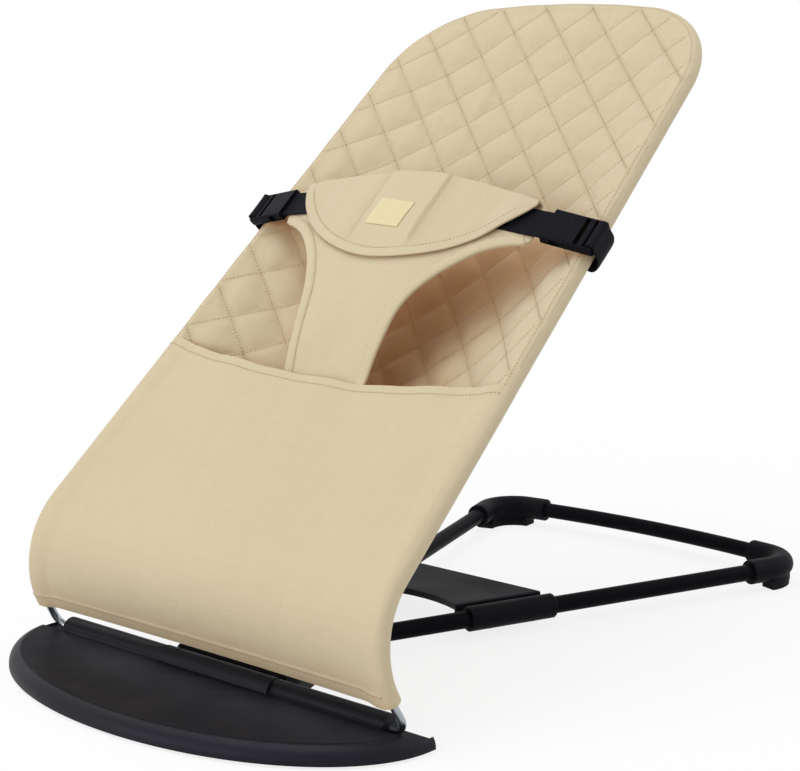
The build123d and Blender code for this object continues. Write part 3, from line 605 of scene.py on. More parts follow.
def sew(name, rows, body="seat", thread=sewing_thread):
    """One piece with all stitches of some rows; a row is points and their normals."""
    shape, shape_faces = stitch_shape()
    points, faces = [], []
    for line, normal in rows:
        run = run_length(line)
        for at in np.arange(STITCH_PITCH / 2, run[-1] - STITCH_PITCH / 2, STITCH_PITCH):
            ends = [read_line(at + d, run, line) for d in (-STITCH_LENGTH / 2, STITCH_LENGTH / 2)]
            up = read_line(at, run, normal)
            along = unit(ends[1] - ends[0])
            side = unit(np.cross(up, along))
            up = np.cross(along, side)
            place = (ends[0] + ends[1]) / 2
            first = len(points) * len(shape)
            points.append(place + shape[:, :1] * STITCH_LENGTH * along
                          + shape[:, 1:2] * STITCH_WIDTH * side + shape[:, 2:] * STITCH_WIDTH * up)
            faces += [tuple(first + v for v in face) for face in shape_faces]
    points = np.array(points)
    piece = make_piece(name, points, faces, thread, np.zeros((points.size // 3, 3)))
    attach(piece, body)
    print(name, "stitches:", len(points))


def with_normal(line, normal):
    """A stitch row whose normals are all the same."""
    return line, np.broadcast_to(normal, line.shape)


print("a stitch of", STITCH_LENGTH, "mm every", STITCH_PITCH, "mm")

# %% [markdown]
# ## The quilted sling
# Two layers of cotton with wadding between them are sewn together along crossing diagonals. The
# stitches pull the layers down into valleys and the wadding swells up between them. The quilt is
# carried over the rails, where it lies thin and round, and hangs between them, deepest under the
# sitter. Everything is measured from the axis of the rails: a point's distance from that line says
# whether it lies on the tube, beside it or out on the sling.

# %% The sling's outline and its hang
QUILT_FRONT_S = 64.0
QUILT_OVERHANG = 4.6
SLING_DIP = 46.0
DIP_SHARE = ((0, 0.30), (0.10, 0.64), (0.25, 0.94), (0.42, 0.98), (0.60, 0.66), (0.80, 0.34),
             (1.0, 0.02))
DIP_FRONT_S = 62.0
apex_s = HOOP_CORNER_S + HOOP_RISE
corner_x = float(rail_x(HOOP_CORNER_S))
hoop_plan = spaced(rounded([(float(rail_x(0)), 0), (corner_x, HOOP_CORNER_S), (0, apex_s),
                            (-corner_x, HOOP_CORNER_S), (-float(rail_x(0)), 0)],
                           [HOOP_BEND, CROWN_BEND, HOOP_BEND]), 2.0)
hoop_way = unit(np.gradient(hoop_plan, axis=0))
hoop_in = np.stack([-hoop_way[:, 1], hoop_way[:, 0]], axis=1)
half_plan = hoop_plan[:len(hoop_plan) // 2 + 1]
plan_tree = kdtree.KDTree(len(hoop_plan))
for k, (x, s) in enumerate(hoop_plan):
    plan_tree.insert((x, s, 0), k)
plan_tree.balance()


def from_axis(x, s):
    """Distance inwards from the axis of the rails and the hoop."""
    x, s = np.broadcast_arrays(np.asarray(x, float), s)
    nearest = [plan_tree.find((px, ps, 0))[1] for px, ps in zip(x.ravel(), s.ravel())]
    nearest = np.array(nearest, int).reshape(x.shape)
    return ((np.stack([x, s], axis=-1) - hoop_plan[nearest]) * hoop_in[nearest]).sum(axis=-1)


def sling_half_width(s):
    """Half-width of the sling at s, to the rail's axis."""
    return np.maximum(np.interp(s, half_plan[:, 1], half_plan[:, 0]), 1.0)


def sling_dip(s):
    share = np.clip((np.asarray(s, float) - DIP_FRONT_S) / (apex_s - DIP_FRONT_S), 0, 1)
    return smooth_curve(share, *zip(*DIP_SHARE)) * SLING_DIP


def sling_hang(x, s):
    """Height of a thin sling that hangs from the axis of the rails."""
    return -sling_dip(s) * np.clip(1 - (x / sling_half_width(s)) ** 2, 0, 1)


print("sling reaches", round(apex_s, 1), "mm up; half-width at the hoop", round(corner_x, 1), "mm")

# %% [markdown]
# The diamonds are 48 mm from point to point, both ways, and one point lies on the middle line of
# the seat. A point's place within its diamond comes from the two diagonals x+s and s-x. The valley
# at a stitch line is a narrow bell, and a broad dome fills the diamond between the valleys.

# %% Diamonds
DIAMOND = 48.0
DIAMOND_PHASE = 13.0
VALLEY = 5.2
VALLEY_DEPTH = 1.5
DOME = 2.0
PUCKER = 0.2
PUCKER_REACH = 5.0


def diagonal(x, s, way):
    """Place across the diamonds, in diamonds; whole numbers are stitch lines."""
    return (s + way * x - DIAMOND_PHASE) / DIAMOND


def line_distance(x, s, way):
    """Millimetres to the nearest stitch line of one set."""
    place = diagonal(x, s, way)
    return np.abs(place - np.round(place)) * DIAMOND / 2 ** 0.5


def swell(x, s):
    """Height of the wadding over the stitch lines."""
    valley = [1 - np.exp(-(line_distance(x, s, way) / VALLEY) ** 2) for way in (1, -1)]
    dome = np.abs(np.sin(pi * diagonal(x, s, 1)) * np.sin(pi * diagonal(x, s, -1)))
    return VALLEY_DEPTH * valley[0] * valley[1] + DOME * dome


def puckers(x, s):
    """Small ripples that the thread gathers beside the lines."""
    near = sum(np.exp(-line_distance(x, s, way) / PUCKER_REACH) for way in (1, -1))
    cells = np.sin(12.9 * np.floor(diagonal(x, s, 1)) + 78.2 * np.floor(diagonal(x, s, -1)))
    wave = np.sin(0.47 * x + 0.3 * s) * np.sin(0.43 * s - 0.2 * x)
    return PUCKER * near * wave + 0.35 * cells * np.sin(0.13 * x) * swell(x, s) / (VALLEY_DEPTH + DOME)


middle_swell = float(swell(0.0, DIAMOND_PHASE + DIAMOND / 2))
print("swell in the middle of a diamond:", round(middle_swell, 2), "mm")

# %% [markdown]
# Beside the rails the quilt changes. On the tube it is thin and round, so its height is a circle that
# goes on along its own tangent. Out on the sling it is the hang with the wadding on it. The face is the
# higher of the two, with the corner between them softened, and the swell fades on the tube. The back
# lies below the face by a thickness that grows away from the rail.

# %% Height of the quilt
TUBE_R = 6.7
TUBE_R_COVERED = 5.5
COVERED_S = (212.0, 224.0)
TANGENT_SHARE = 0.9
TANGENT_SLOPE = 2.06
NARROWEST_HALF = 120.0
CREASE = 0.1
BODY_RISE = 2.0
RISE_REACH = (8.0, 64.0)
OUTSIDE_DROP = 6.0
OUTSIDE_REACH = (-2.0, 4.0)
MEETING_ROUND = 1.2
SWELL_ON_TUBE = 0.12
SWELL_REACH = (2.0, 26.0)
SWELL_FRONT_S = (QUILT_FRONT_S + 20, QUILT_FRONT_S + 90)


def quilt_base(x, s, reach):
    """Face of the quilt without its swell: round on the tube, then down with the hang."""
    radius = TUBE_R_COVERED + (TUBE_R - TUBE_R_COVERED) * ease(s, *COVERED_S)
    shoulder = np.minimum(reach, TANGENT_SHARE * radius)
    over_tube = np.sqrt(radius ** 2 - np.minimum(shoulder ** 2, (TANGENT_SHARE * radius) ** 2))
    over_tube = over_tube - TANGENT_SLOPE * (reach - shoulder)
    slope = 2 * sling_dip(s) / np.maximum(sling_half_width(s), NARROWEST_HALF)
    beside = radius * np.sqrt(1 + slope ** 2) - CREASE
    rise = beside + (BODY_RISE - beside) * ease(reach, *RISE_REACH)
    slung = sling_hang(x, s) + rise - OUTSIDE_DROP * ease(-reach, *OUTSIDE_REACH)
    return (over_tube + slung + np.sqrt((over_tube - slung) ** 2 + MEETING_ROUND)) / 2, radius


def quilt_top(x, s):
    reach = from_axis(x, s)
    base, _ = quilt_base(x, s, reach)
    room = SWELL_ON_TUBE + (1 - SWELL_ON_TUBE) * ease(reach, *SWELL_REACH)
    return base + (swell(x, s) + puckers(x, s)) * room * ease(s, *SWELL_FRONT_S)


RAIL_R = 5.2
QUILT_ON_TUBE = 1.4
QUILT_BODY = 4.4
THICK_REACH = (7.0, 24.0)
UNDER_PUFF = 2.0
PUFF_REACH = (14.0, 34.0)


def quilt_under(x, s):
    reach = from_axis(x, s)
    base, radius = quilt_base(x, s, reach)
    thin = np.minimum(QUILT_ON_TUBE, radius - RAIL_R)
    thick = thin + (QUILT_BODY - thin) * ease(reach, *THICK_REACH)
    puff = UNDER_PUFF * swell(x, s) / (VALLEY_DEPTH + DOME)
    return base - thick - puff * ease(reach, *PUFF_REACH)


middle_thickness = float(quilt_top(0.0, apex_s / 2) - quilt_under(0.0, apex_s / 2))
print("thickness in the middle of the sling:", round(middle_thickness, 1), "mm")

# %% [markdown]
# The grid follows the outline of the frame. Its lines lie close together where the quilt bends over
# the tube and 2.4 mm apart on the sling, fine enough for the valleys.

# %% Quilted back
QUILT_STEP = 2.4
EDGE_STEPS = (0, 0.7, 1.5, 2.4, 3.4, 4.5, 5.7, 7.0, 8.4, 10.0, 11.8, 13.8, 15.9)
quilt_half = float(rail_x(apex_s / 2)) + QUILT_OVERHANG


def from_edge(length):
    """Distances from an edge to the far end: close at first, then even."""
    rest = np.linspace(EDGE_STEPS[-1], length, int((length - EDGE_STEPS[-1]) / QUILT_STEP) + 1)
    return np.concatenate([EDGE_STEPS, rest[1:]])


def quilt_grid():
    """x and s of a grid that fills the sling's outline."""
    edge = half_plan - hoop_in[:len(half_plan)] * QUILT_OVERHANG
    half_u = 1 - from_edge(quilt_half) / quilt_half
    u = np.concatenate([-half_u, half_u[-2::-1]])
    share = edge[:, 0] / (rail_x(edge[:, 1]) + QUILT_OVERHANG)
    top_s = np.interp(np.abs(u), share[::-1], edge[::-1, 1])
    top_s[[0, -1]] = edge[np.searchsorted(-share, -0.9995), 1]
    v = 1 - from_edge(apex_s - QUILT_FRONT_S)[::-1, None] / (apex_s - QUILT_FRONT_S)
    s = QUILT_FRONT_S + v * (top_s[None, :] - QUILT_FRONT_S)
    return u[None, :] * (rail_x(s) + QUILT_OVERHANG), s


# Painted shade along the two sets of stitch lines, stronger on the falling set.
FALLING_SHADE, RISING_SHADE = 0.32, 0.15
SHADE_WIDTH = 1.8


def seam_painted_shade(x, s):
    """Painted shade along the stitch lines: how much the colour darkens near a seam."""
    falling, rising = (np.exp(-(line_distance(x, s, way) / SHADE_WIDTH) ** 2) for way in (1, -1))
    return np.maximum(FALLING_SHADE * falling, RISING_SHADE * rising)


quilt_x, quilt_s = quilt_grid()
upper = on_seat(quilt_x, quilt_s, quilt_top(quilt_x, quilt_s))
lower = on_seat(quilt_x, quilt_s, quilt_under(quilt_x, quilt_s))
rows, columns = quilt_x.shape
count = rows * columns
index = np.arange(count).reshape(rows, columns)
rim = np.concatenate([index[0, :-1], index[:-1, -1], index[-1, :0:-1], index[:0:-1, 0]])
walls = [(a, a + count, b + count, b) for a, b in zip(rim, np.roll(rim, -1))]
quilt_cloth = np.stack([quilt_x, quilt_s, seam_painted_shade(quilt_x, quilt_s)], axis=-1)
quilted_back = make_piece(
    "quilted_back", np.concatenate([upper.reshape(-1, 3), lower.reshape(-1, 3)]),
    [*grid_faces(rows, columns), *grid_faces(rows, columns, count, True), *walls],
    quilt_cotton, np.concatenate([quilt_cloth.reshape(-1, 3)] * 2))
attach(quilted_back, "seat")
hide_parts("seat_back")
print("quilt points:", len(quilted_back.data.vertices))

# %% [markdown]
# The quilting thread runs along both sets of diagonals and shows on the face and on the back. One set
# is sewn with a darker thread, the other nearly matches the cloth. Every stitch leans with the surface
# under it, so a row is given the surface's own normals.

# %% Quilting thread
FACE_LIFT, FACE_EDGE = 0.15, -0.5
BACK_LIFT, BACK_EDGE = -0.3, 19.0
ROW_HALF, ROW_STEP = 190, 2.0


def on_surface(surface, x, s, lift):
    """Stitch row on a height surface: its points, lifted, and its normals."""
    n = surface(x, s)
    slope_x = surface(x + 0.5, s) - surface(x - 0.5, s)
    slope_s = surface(x, s + 0.5) - surface(x, s - 0.5)
    way = on_seat(-slope_x, -slope_s, np.ones_like(n)) - on_seat(0, 0, 0)
    normal = unit(way) * np.sign(lift)
    return on_seat(x, s, n) + normal * abs(lift), normal


def quilt_lines(surface, lift, edge, way):
    """Stitch rows along every diagonal of one set that crosses the sling."""
    rows = []
    reach = int(2 * apex_s / DIAMOND)
    across = np.arange(-ROW_HALF, ROW_HALF, ROW_STEP)
    for k in range(-reach, reach):
        s = DIAMOND * k + DIAMOND_PHASE - way * across
        inside = (s > QUILT_FRONT_S + 4) & (s < apex_s)
        inside[inside] = from_axis(across[inside], s[inside]) > edge
        if inside.sum() > 4:
            rows.append(on_surface(surface, across[inside], s[inside], lift))
    return rows


for way, label, thread in ((1, "falling", quilting_thread), (-1, "rising", sewing_thread)):
    face_rows = quilt_lines(quilt_top, FACE_LIFT, FACE_EDGE, way)
    back_rows = quilt_lines(quilt_under, BACK_LIFT, BACK_EDGE, way)
    sew(f"quilting_{label}_face", face_rows, thread=thread)
    sew(f"quilting_{label}_back", back_rows, thread=thread)

# %% [markdown]
# ## The casing round the rails
# A strip of cotton closes the tunnel for the rail: it comes out from under the quilt's edge on the
# outside of the tube, goes round below it and is sewn to the back of the quilt. Its section is a part
# of a circle and a flat tail, and that section is carried along the whole rail.

# %% Casing
CASING_R = 6.0
CASING_START_S = 206.0
CASING_ANGLES = (112.0, 312.0)
CASING_COLUMNS = 23
CASING_THICKNESS = 0.8
TAIL_LAYER = 0.9
TAIL_TUCK = -0.3
TAIL_REACH = (8.5, 11.5, 15.5, 18.0, 18.8)
on_back = hoop_plan[:, 1] >= CASING_START_S


def beside_rail(reach):
    """x and s of the rail's axis moved inwards."""
    moved = hoop_plan[on_back] + hoop_in[on_back] * reach
    return moved[:, 0], moved[:, 1]


def casing_section():
    """Points of the strip along the rail, one row after another round the tube."""
    section = []
    for angle in np.radians(np.linspace(*CASING_ANGLES, CASING_COLUMNS)):
        section.append(on_seat(*beside_rail(CASING_R * cos(angle)), CASING_R * sin(angle)))
    for reach in TAIL_REACH:
        x, s = beside_rail(reach)
        lift = TAIL_LAYER if reach < TAIL_REACH[-1] else TAIL_TUCK
        section.append(on_seat(x, s, quilt_under(x, s) - lift))
    return np.stack(section, axis=0)


casing_grid = casing_section()
casing = cloth_piece("edge_casing_cloth", casing_grid, CASING_THICKNESS, cover_cotton, edge=0.3)
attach(casing, "seat")
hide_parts("edge_casing")
print("casing strip, square metres:", round(grid_area(casing_grid), 4))

# %% [markdown]
# One row of topstitching holds the quilt's edge on the face. Two more run along the back, on the tail
# of the strip, which lies one layer below the quilt.

# %% Casing stitches
FACE_STITCH_REACH = -1.2
FACE_STITCH_LIFT = 0.12
BACK_STITCH_REACH = (10.0, 13.0)


def casing_back(x, s):
    return quilt_under(x, s) - TAIL_LAYER


face_row = on_surface(quilt_top, *beside_rail(FACE_STITCH_REACH), FACE_STITCH_LIFT)
back_rows = [on_surface(casing_back, *beside_rail(reach), BACK_LIFT) for reach in BACK_STITCH_REACH]
sew("casing_topstitch", [face_row, *back_rows])

# %% [markdown]
# ## The apron
# A plain panel wraps from rail to rail over the knee of the frame. It is stretched, so it shows the
# rail as a soft ridge along each side, with a faint valley beside it. Each row of its grid is one
# section across the seat: hook behind the left rail, round it, across, and round the right rail.

# %% The line of the rails over the knee
APRON_TOP_S = 202.0
APRON_TOP_RISE = 16.0
APRON_R = 7.0
APRON_THICKNESS = 1.4
RIDGE_DROP = 2.4
RIDGE_WIDTH = 20.0
HEM_BAND = 11.0
HEM_RISE = 0.7
TOP_HEM = 9.0
TOP_HEM_RISE = 0.5

hem_y = KNEE_Y * (HEM_Z - PIVOT_Z) / (KNEE_Z - PIVOT_Z)
longest_s = APRON_TOP_S + APRON_TOP_RISE + 4.0
line_end = (KNEE_Y + longest_s * cos(SEAT_ANGLE), KNEE_Z + longest_s * sin(SEAT_ANGLE))
knee_line = spaced(rounded([(hem_y, HEM_Z), (KNEE_Y, KNEE_Z), line_end], [KNEE_BEND]), 1.0)
knee_run = run_length(knee_line)
knee_way = unit(np.gradient(knee_line, axis=0))


def on_knee(run):
    """y, z and outward normal (y, z) at a distance along the rails from the hem."""
    y, z = (np.interp(run, knee_run, knee_line[:, k]) for k in (0, 1))
    dy, dz = (np.interp(run, knee_run, knee_way[:, k]) for k in (0, 1))
    return y, z, -dz, dy


def apron_points(x, height, run):
    y, z, ny, nz = on_knee(run)
    return np.stack([x + 0 * run, y + height * ny, z + height * nz], axis=-1)


def run_of_s(s):
    """Distance along the rails from the hem to a place s on the back."""
    return knee_run[-1] - (longest_s - np.asarray(s, float))


apron_top_run = run_of_s(APRON_TOP_S)
print("apron length from hem to edge:", round(float(apron_top_run), 1), "mm")

# %% [markdown]
# The sections are then stacked from the hem to the top edge. Their points lie closer together beside
# the rails, and the rows lie closer at both hems, where the turned cloth makes a small step.

# %% Apron
APRON_ROWS = 120
HEM_ROWS = 16
HEM_SHARE, TOP_SHARE = 0.055, 0.94
PANEL_COLUMNS = 91
panel_even = np.linspace(-1, 1, PANEL_COLUMNS)
panel_share = 0.55 * panel_even + 0.45 * np.sin(panel_even * pi / 2)
round_angles = np.radians(np.linspace(90, -90, 13))[1:]
hook = ((6.0, -7.0), (11.0, -4.0), (17.0, 0.5))


def soft_folds(x, run, top):
    """Faint folds that hang from the apron's top edge, and a slack middle."""
    below = np.maximum(top - run, 0)
    folds = np.sin(x / 8.2 + 0.4) * 0.7 + np.sin(x / 14.5 + 1.3) * 0.9
    sweep = np.sin((x + 0.45 * run) / 31.0) * 0.9
    return folds * np.exp(-below / 38.0) * ease(170 - np.abs(x), 10, 60) + sweep * ease(run, 40, 120)


def apron_section(v):
    """One grid row at share v of the way from the hem to the top edge."""
    end_run = run_of_s(APRON_TOP_S + APRON_TOP_RISE)
    run_side = v * end_run
    _, z_side, _, _ = on_knee(np.array(run_side))
    rail = float(side_x(z_side))
    wrap = [apron_points(np.array(rail + APRON_R * cos(a)), APRON_R * sin(a), np.array(run_side))
            for a in round_angles]
    tuck = [apron_points(np.array(rail - reach), height, np.array(run_side)) for reach, height in hook]
    x = panel_share * rail
    top = run_of_s(APRON_TOP_S + APRON_TOP_RISE * panel_share ** 2)
    run = v * top
    inside = rail - np.abs(x)
    drop = RIDGE_DROP * ease(inside, 5.0, RIDGE_WIDTH)
    slack = 1.5 * (1 - panel_share ** 2) * (1 + 2.0 * np.exp(-((run - 75) / 45) ** 2))
    hem_fold = HEM_RISE * ease(run, HEM_BAND + 0.6, HEM_BAND - 0.6)
    top_fold = TOP_HEM_RISE * ease(run, top - TOP_HEM - 1, top - TOP_HEM + 1)
    height = APRON_R - drop - slack + soft_folds(x, run, top) + hem_fold + top_fold
    panel = apron_points(x, height, run)
    right = np.array(wrap + tuck)
    left = right * (-1, 1, 1)
    return np.concatenate([left[::-1], panel, right])


apron_v = np.concatenate([np.linspace(0, HEM_SHARE, HEM_ROWS),
                          np.linspace(HEM_SHARE, TOP_SHARE, APRON_ROWS)[1:],
                          np.linspace(TOP_SHARE, 1, HEM_ROWS)[1:]])
apron_grid = np.array([apron_section(v) for v in apron_v])
apron = cloth_piece("apron_cloth", apron_grid, APRON_THICKNESS, cover_cotton, edge=0.6)
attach(apron, "seat")
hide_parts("apron")
print("apron rows:", len(apron_grid), "square metres:", round(grid_area(apron_grid), 4))

# %% [markdown]
# Both ends of the apron are turned under and stitched down, the lower one where it faces the floor,
# the upper one along the edge that the sitter's legs come over.

# %% Apron stitches
UNSEWN_POINTS = 12
HEM_LIFT = 0.35
HEM_STITCH_RUN = HEM_BAND - 1.8
TOP_STITCH_RUN = float(apron_top_run) - TOP_HEM + 1.6


def apron_row(run, normal):
    """Stitch row across the apron at a distance from its lower hem."""
    row = apron_section(run / float(apron_top_run))[UNSEWN_POINTS:-UNSEWN_POINTS]
    return with_normal(row + normal * HEM_LIFT, normal)


_, _, hem_ny, hem_nz = on_knee(np.array(HEM_BAND))
hem_normal = np.array([0, hem_ny, hem_nz])
sew("hem_stitch", [apron_row(HEM_STITCH_RUN, hem_normal)], thread=quilting_thread)
sew("top_hem_stitch", [apron_row(TOP_STITCH_RUN, seat_normal)])

# %% [markdown]
# ## The bib
# A shaped panel comes out from under the apron's edge between the sitter's legs and widens into two
# wings that are buckled to the rails. Its sides are bound with a folded strip. The panel is bowed
# across, so its grid takes its height from two smooth lines: one up the middle, one up the sides.

# %% Bib
BIB_BASE_S = 192.0
BIB_CROWN_S = 386.0
BIB_THICKNESS = 1.7
BIB_SIDE = ((40, 192), (42.5, 215), (46, 240), (51, 268), (63, 292), (79, 311), (98, 326.5),
            (112, 333.5), (123, 338), (125.6, 340.5), (126.2, 348), (126, 358), (124.5, 367.5))
BOW_REACH = 136.0
MIDDLE_HEIGHT = ((192, -2.6), (203, 0.2), (225, 10.0), (252, 20.5), (318, 31.5), (392, 33.0))
SIDE_HEIGHT = ((192, -2.6), (203, 0.2), (225, 6.5), (252, 11.5), (318, 17.0), (392, 18.0))
bib_side = np.array(BIB_SIDE, float)
bib_side_run = run_length(bib_side)


def bib_edge(v):
    """Half-width and s of the bib's side at a share of the way up."""
    run = np.asarray(v) * bib_side_run[-1]
    return tuple(smooth_curve(run, bib_side_run, bib_side[:, k]) for k in (0, 1))


def bib_height(x, s):
    middle = smooth_curve(s, *zip(*MIDDLE_HEIGHT))
    side = smooth_curve(s, *zip(*SIDE_HEIGHT))
    bow = side + (middle - side) * (1 - (x / BOW_REACH) ** 2)
    creases = 0.9 * np.sin((x - 0.35 * s) / 9.5) * np.exp(-((s - 238) / 34.0) ** 2)
    creases += 0.6 * np.sin((x + 0.2 * s) / 13.0 + 1.0)
    return bow + creases * ease(s, 202, 225) * ease(380 - s, 0, 40)


def bib_place(u, v):
    """x and s on the bib from shares across and up."""
    half, side_s = bib_edge(v)
    middle_s = BIB_BASE_S + v * (BIB_CROWN_S - BIB_BASE_S)
    return u * half, side_s + (middle_s - side_s) * (1 - u ** 2)


BIB_ROWS, BIB_COLUMNS = 90, 71
bib_u = np.linspace(-1, 1, BIB_COLUMNS)[None, :]
bib_v = np.linspace(0, 1, BIB_ROWS)[:, None]
bib_x, bib_s = bib_place(bib_u, bib_v)
bib_grid = on_seat(bib_x, bib_s, bib_height(bib_x, bib_s))
bib = cloth_piece("bib_cloth", bib_grid, BIB_THICKNESS, cover_cotton, edge=0.8)
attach(bib, "seat")
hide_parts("bib")
print("bib, square metres:", round(grid_area(bib_grid), 4))

# %% [markdown]
# The binding is a strip folded over the bib's raw side. It stands a little proud on the face, wraps
# the edge and returns behind. Its stitches run close to its inner fold.

# %% Bib binding
BINDING = 8.0
BINDING_THICKNESS = 0.5
BINDING_STITCH = 0.82
BINDING_LIFT = 0.9
BINDING_SECTION = ((1.0, -0.1), (0.94, 0.6), (0.5, 0.75), (0.10, 0.6), (-0.02, 0.25), (-0.05, -0.3),
                   (-0.05, -1.2), (-0.02, -1.7), (0.10, -2.1), (0.5, -2.2), (0.94, -2.1), (1.0, -1.5))
WING_CORNER = 8
binding_v = np.linspace(0.04, bib_side_run[WING_CORNER] / bib_side_run[-1], 110)
edge_x, edge_s = bib_edge(binding_v)
edge_way = unit(np.gradient(np.stack([edge_x, edge_s], axis=1), axis=0))
edge_in = np.stack([-edge_way[:, 1], edge_way[:, 0]], axis=1)


def binding_grid(side):
    columns = []
    full = ease(binding_v, binding_v[-1], binding_v[-6])
    for reach, level in BINDING_SECTION:
        level = level * full + np.clip(level, -BIB_THICKNESS, 0.1) * (1 - full)
        x = edge_x + edge_in[:, 0] * reach * BINDING
        s = edge_s + edge_in[:, 1] * reach * BINDING
        columns.append(on_seat(side * x, s, bib_height(x * side, s) + level))
    grid = np.stack(columns, axis=1)
    return grid if side < 0 else grid[:, ::-1]


for side, label in ((-1, "left"), (1, "right")):
    grid = binding_grid(side)
    piece = cloth_piece("bib_binding_" + label, grid, BINDING_THICKNESS, cover_cotton, edge=0.2)
    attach(piece, "seat")
    x = side * (edge_x + edge_in[:, 0] * BINDING * BINDING_STITCH)
    s = edge_s + edge_in[:, 1] * BINDING * BINDING_STITCH
    line = on_seat(x, s, bib_height(x, s) + BINDING_LIFT)
    sew("bib_stitch_" + label, [with_normal(line, seat_normal)])

# %% [markdown]
# ## The turned-down flap and its tag
# The top of the bib is folded down into a round flap. Two pressed pleats run down it beside a blank
# ribbon tag. The fold at the crown is part of the same grid: its last rows go over the edge and
# down behind the bib.

# %% Flap
FLAP_HALF = 119.0
FLAP_CORNER_S = 370.0
FLAP_CORNER_DEPTH = 4.0
FLAP_FOOT_S = 301.0
FLAP_LIFT = 2.7
FLAP_THICKNESS = 1.4
FLAP_BAND = 8.0
PLEAT_X = (-31.0, 30.0)
PLEAT_RISE = 2.0
PLEAT_SHADE = 0.45
PLEAT_FOOT_S = (FLAP_FOOT_S + 8, FLAP_FOOT_S + 26)
BAND_RISE = 0.8
BAND_STITCH_LIFT = 0.3
STRAP_RISE = 2.4
STRAP_X = (84.0, 104.0)
flap_rise = FLAP_CORNER_S - FLAP_FOOT_S
foot_radius = (FLAP_HALF ** 2 + flap_rise ** 2) / (2 * flap_rise)


def flap_foot(x):
    return FLAP_FOOT_S + foot_radius - np.sqrt(np.maximum(foot_radius ** 2 - x ** 2, 1.0))


def flap_crown(x):
    corner = FLAP_CORNER_S + FLAP_CORNER_DEPTH
    return corner + (BIB_CROWN_S + 1.5 - corner) * (1 - (x / FLAP_HALF) ** 2)


def pleats(x, s):
    """A raised box between two pressed folds, flat again at the flap's foot."""
    box = ease(x, PLEAT_X[0] - 0.8, PLEAT_X[0] + 0.8) * ease(-x, -PLEAT_X[1] - 0.8, -PLEAT_X[1] + 0.8)
    bulge = 0.8 * np.exp(-((x - PLEAT_X[0] - 12) / 7.0) ** 2)
    hollow = 0.6 * np.exp(-((x - PLEAT_X[1] + 15) / 8.0) ** 2)
    return (PLEAT_RISE * box + (bulge - hollow) * ease(s, 320, 370)) * ease(s, *PLEAT_FOOT_S)


def pleat_shade(x, s):
    """Painted shadow that stays beside the pressed folds."""
    outside = (PLEAT_X[0] - x, x - PLEAT_X[1])
    beside = sum(np.exp(-np.maximum(out, 0) / 5.0) * (out > -0.6) for out in outside)
    return PLEAT_SHADE * beside * ease(s, *PLEAT_FOOT_S)


def flap_height(x, s):
    rim = foot_radius - np.hypot(x, s - FLAP_FOOT_S - foot_radius)
    band = BAND_RISE * ease(-rim, -FLAP_BAND - 0.7, -FLAP_BAND + 0.7)
    over_strap = STRAP_RISE * ease(np.abs(x), *STRAP_X)
    drape = 0.7 * np.sin(x / 17.0 + 0.6) * ease(s, 300, 345)
    return bib_height(x, s) + FLAP_LIFT + pleats(x, s) + band + over_strap + drape


FLAP_ROWS, FLAP_COLUMNS = 44, 151
flap_t = np.linspace(-1, 1, FLAP_COLUMNS)
flap_x = (FLAP_HALF * (0.75 * flap_t + 0.25 * np.sin(flap_t * pi / 2)))[None, :]
flap_v = np.linspace(0, 1, FLAP_ROWS)[:, None]
flap_s = flap_foot(flap_x) + flap_v * (flap_crown(flap_x) - flap_foot(flap_x))
front = on_seat(flap_x, flap_s, flap_height(flap_x, flap_s))
crown_s = flap_crown(flap_x)
crown_n = flap_height(flap_x, crown_s)
back_n = bib_height(flap_x, crown_s) - BIB_THICKNESS - 0.4
turn = [on_seat(flap_x, crown_s + push, crown_n + (back_n - crown_n) * share)
        for push, share in ((1.2, 0.2), (1.6, 0.55), (1.0, 0.88), (-4.0, 1.0), (-12.0, 1.0))]
flap_grid = np.concatenate([front, *turn])
# Painted shadow beside the pleats goes in as the flap's painted shade.
shade = np.concatenate([pleat_shade(flap_x, flap_s), np.zeros((len(turn), FLAP_COLUMNS))])
flap = cloth_piece("flap_cloth", flap_grid, FLAP_THICKNESS, cover_cotton, shade, edge=0.6)
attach(flap, "seat")
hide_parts("bib_flap")
print("flap, square metres:", round(grid_area(flap_grid), 4))

band_x = np.linspace(-FLAP_HALF + 12, FLAP_HALF - 12, 140)
band_radius = foot_radius - FLAP_BAND
band_s = FLAP_FOOT_S + foot_radius - np.sqrt(np.maximum(band_radius ** 2 - band_x ** 2, 1.0))
band_line = on_seat(band_x, band_s, flap_height(band_x, band_s) + BAND_STITCH_LIFT)
sew("flap_stitch", [with_normal(band_line, seat_normal)])

# %% [markdown]
# The tag is a short piece of ribbon sewn to the flap, a little askew. Its grid takes the flap's own
# height, so it follows the cloth under it, and a slight bulge keeps it from looking printed on.

# %% Tag
TAG_CENTRE = (-3.5, 342.0)
TAG_HALF = (18.5, 13.0)
TAG_TURN = radians(-5.0)
TAG_LIFT, TAG_BULGE = 0.75, 0.5
TAG_THICKNESS = 0.7
tag_u = np.linspace(-1, 1, 25)[None, :]
tag_v = np.linspace(-1, 1, 19)[:, None]
tag_x = TAG_CENTRE[0] + TAG_HALF[0] * tag_u * cos(TAG_TURN) - TAG_HALF[1] * tag_v * sin(TAG_TURN)
tag_s = TAG_CENTRE[1] + TAG_HALF[0] * tag_u * sin(TAG_TURN) + TAG_HALF[1] * tag_v * cos(TAG_TURN)
tag_bulge = TAG_BULGE * (1 - tag_u ** 4) * (1 - tag_v ** 4)
tag_grid = on_seat(tag_x, tag_s, flap_height(tag_x, tag_s) + TAG_LIFT + tag_bulge)
tag = cloth_piece("blank_tag_cloth", tag_grid, TAG_THICKNESS, tag_ribbon, edge=0.25)
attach(tag, "seat")
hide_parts("blank_tag")
print("tag, square metres:", round(grid_area(tag_grid), 5))

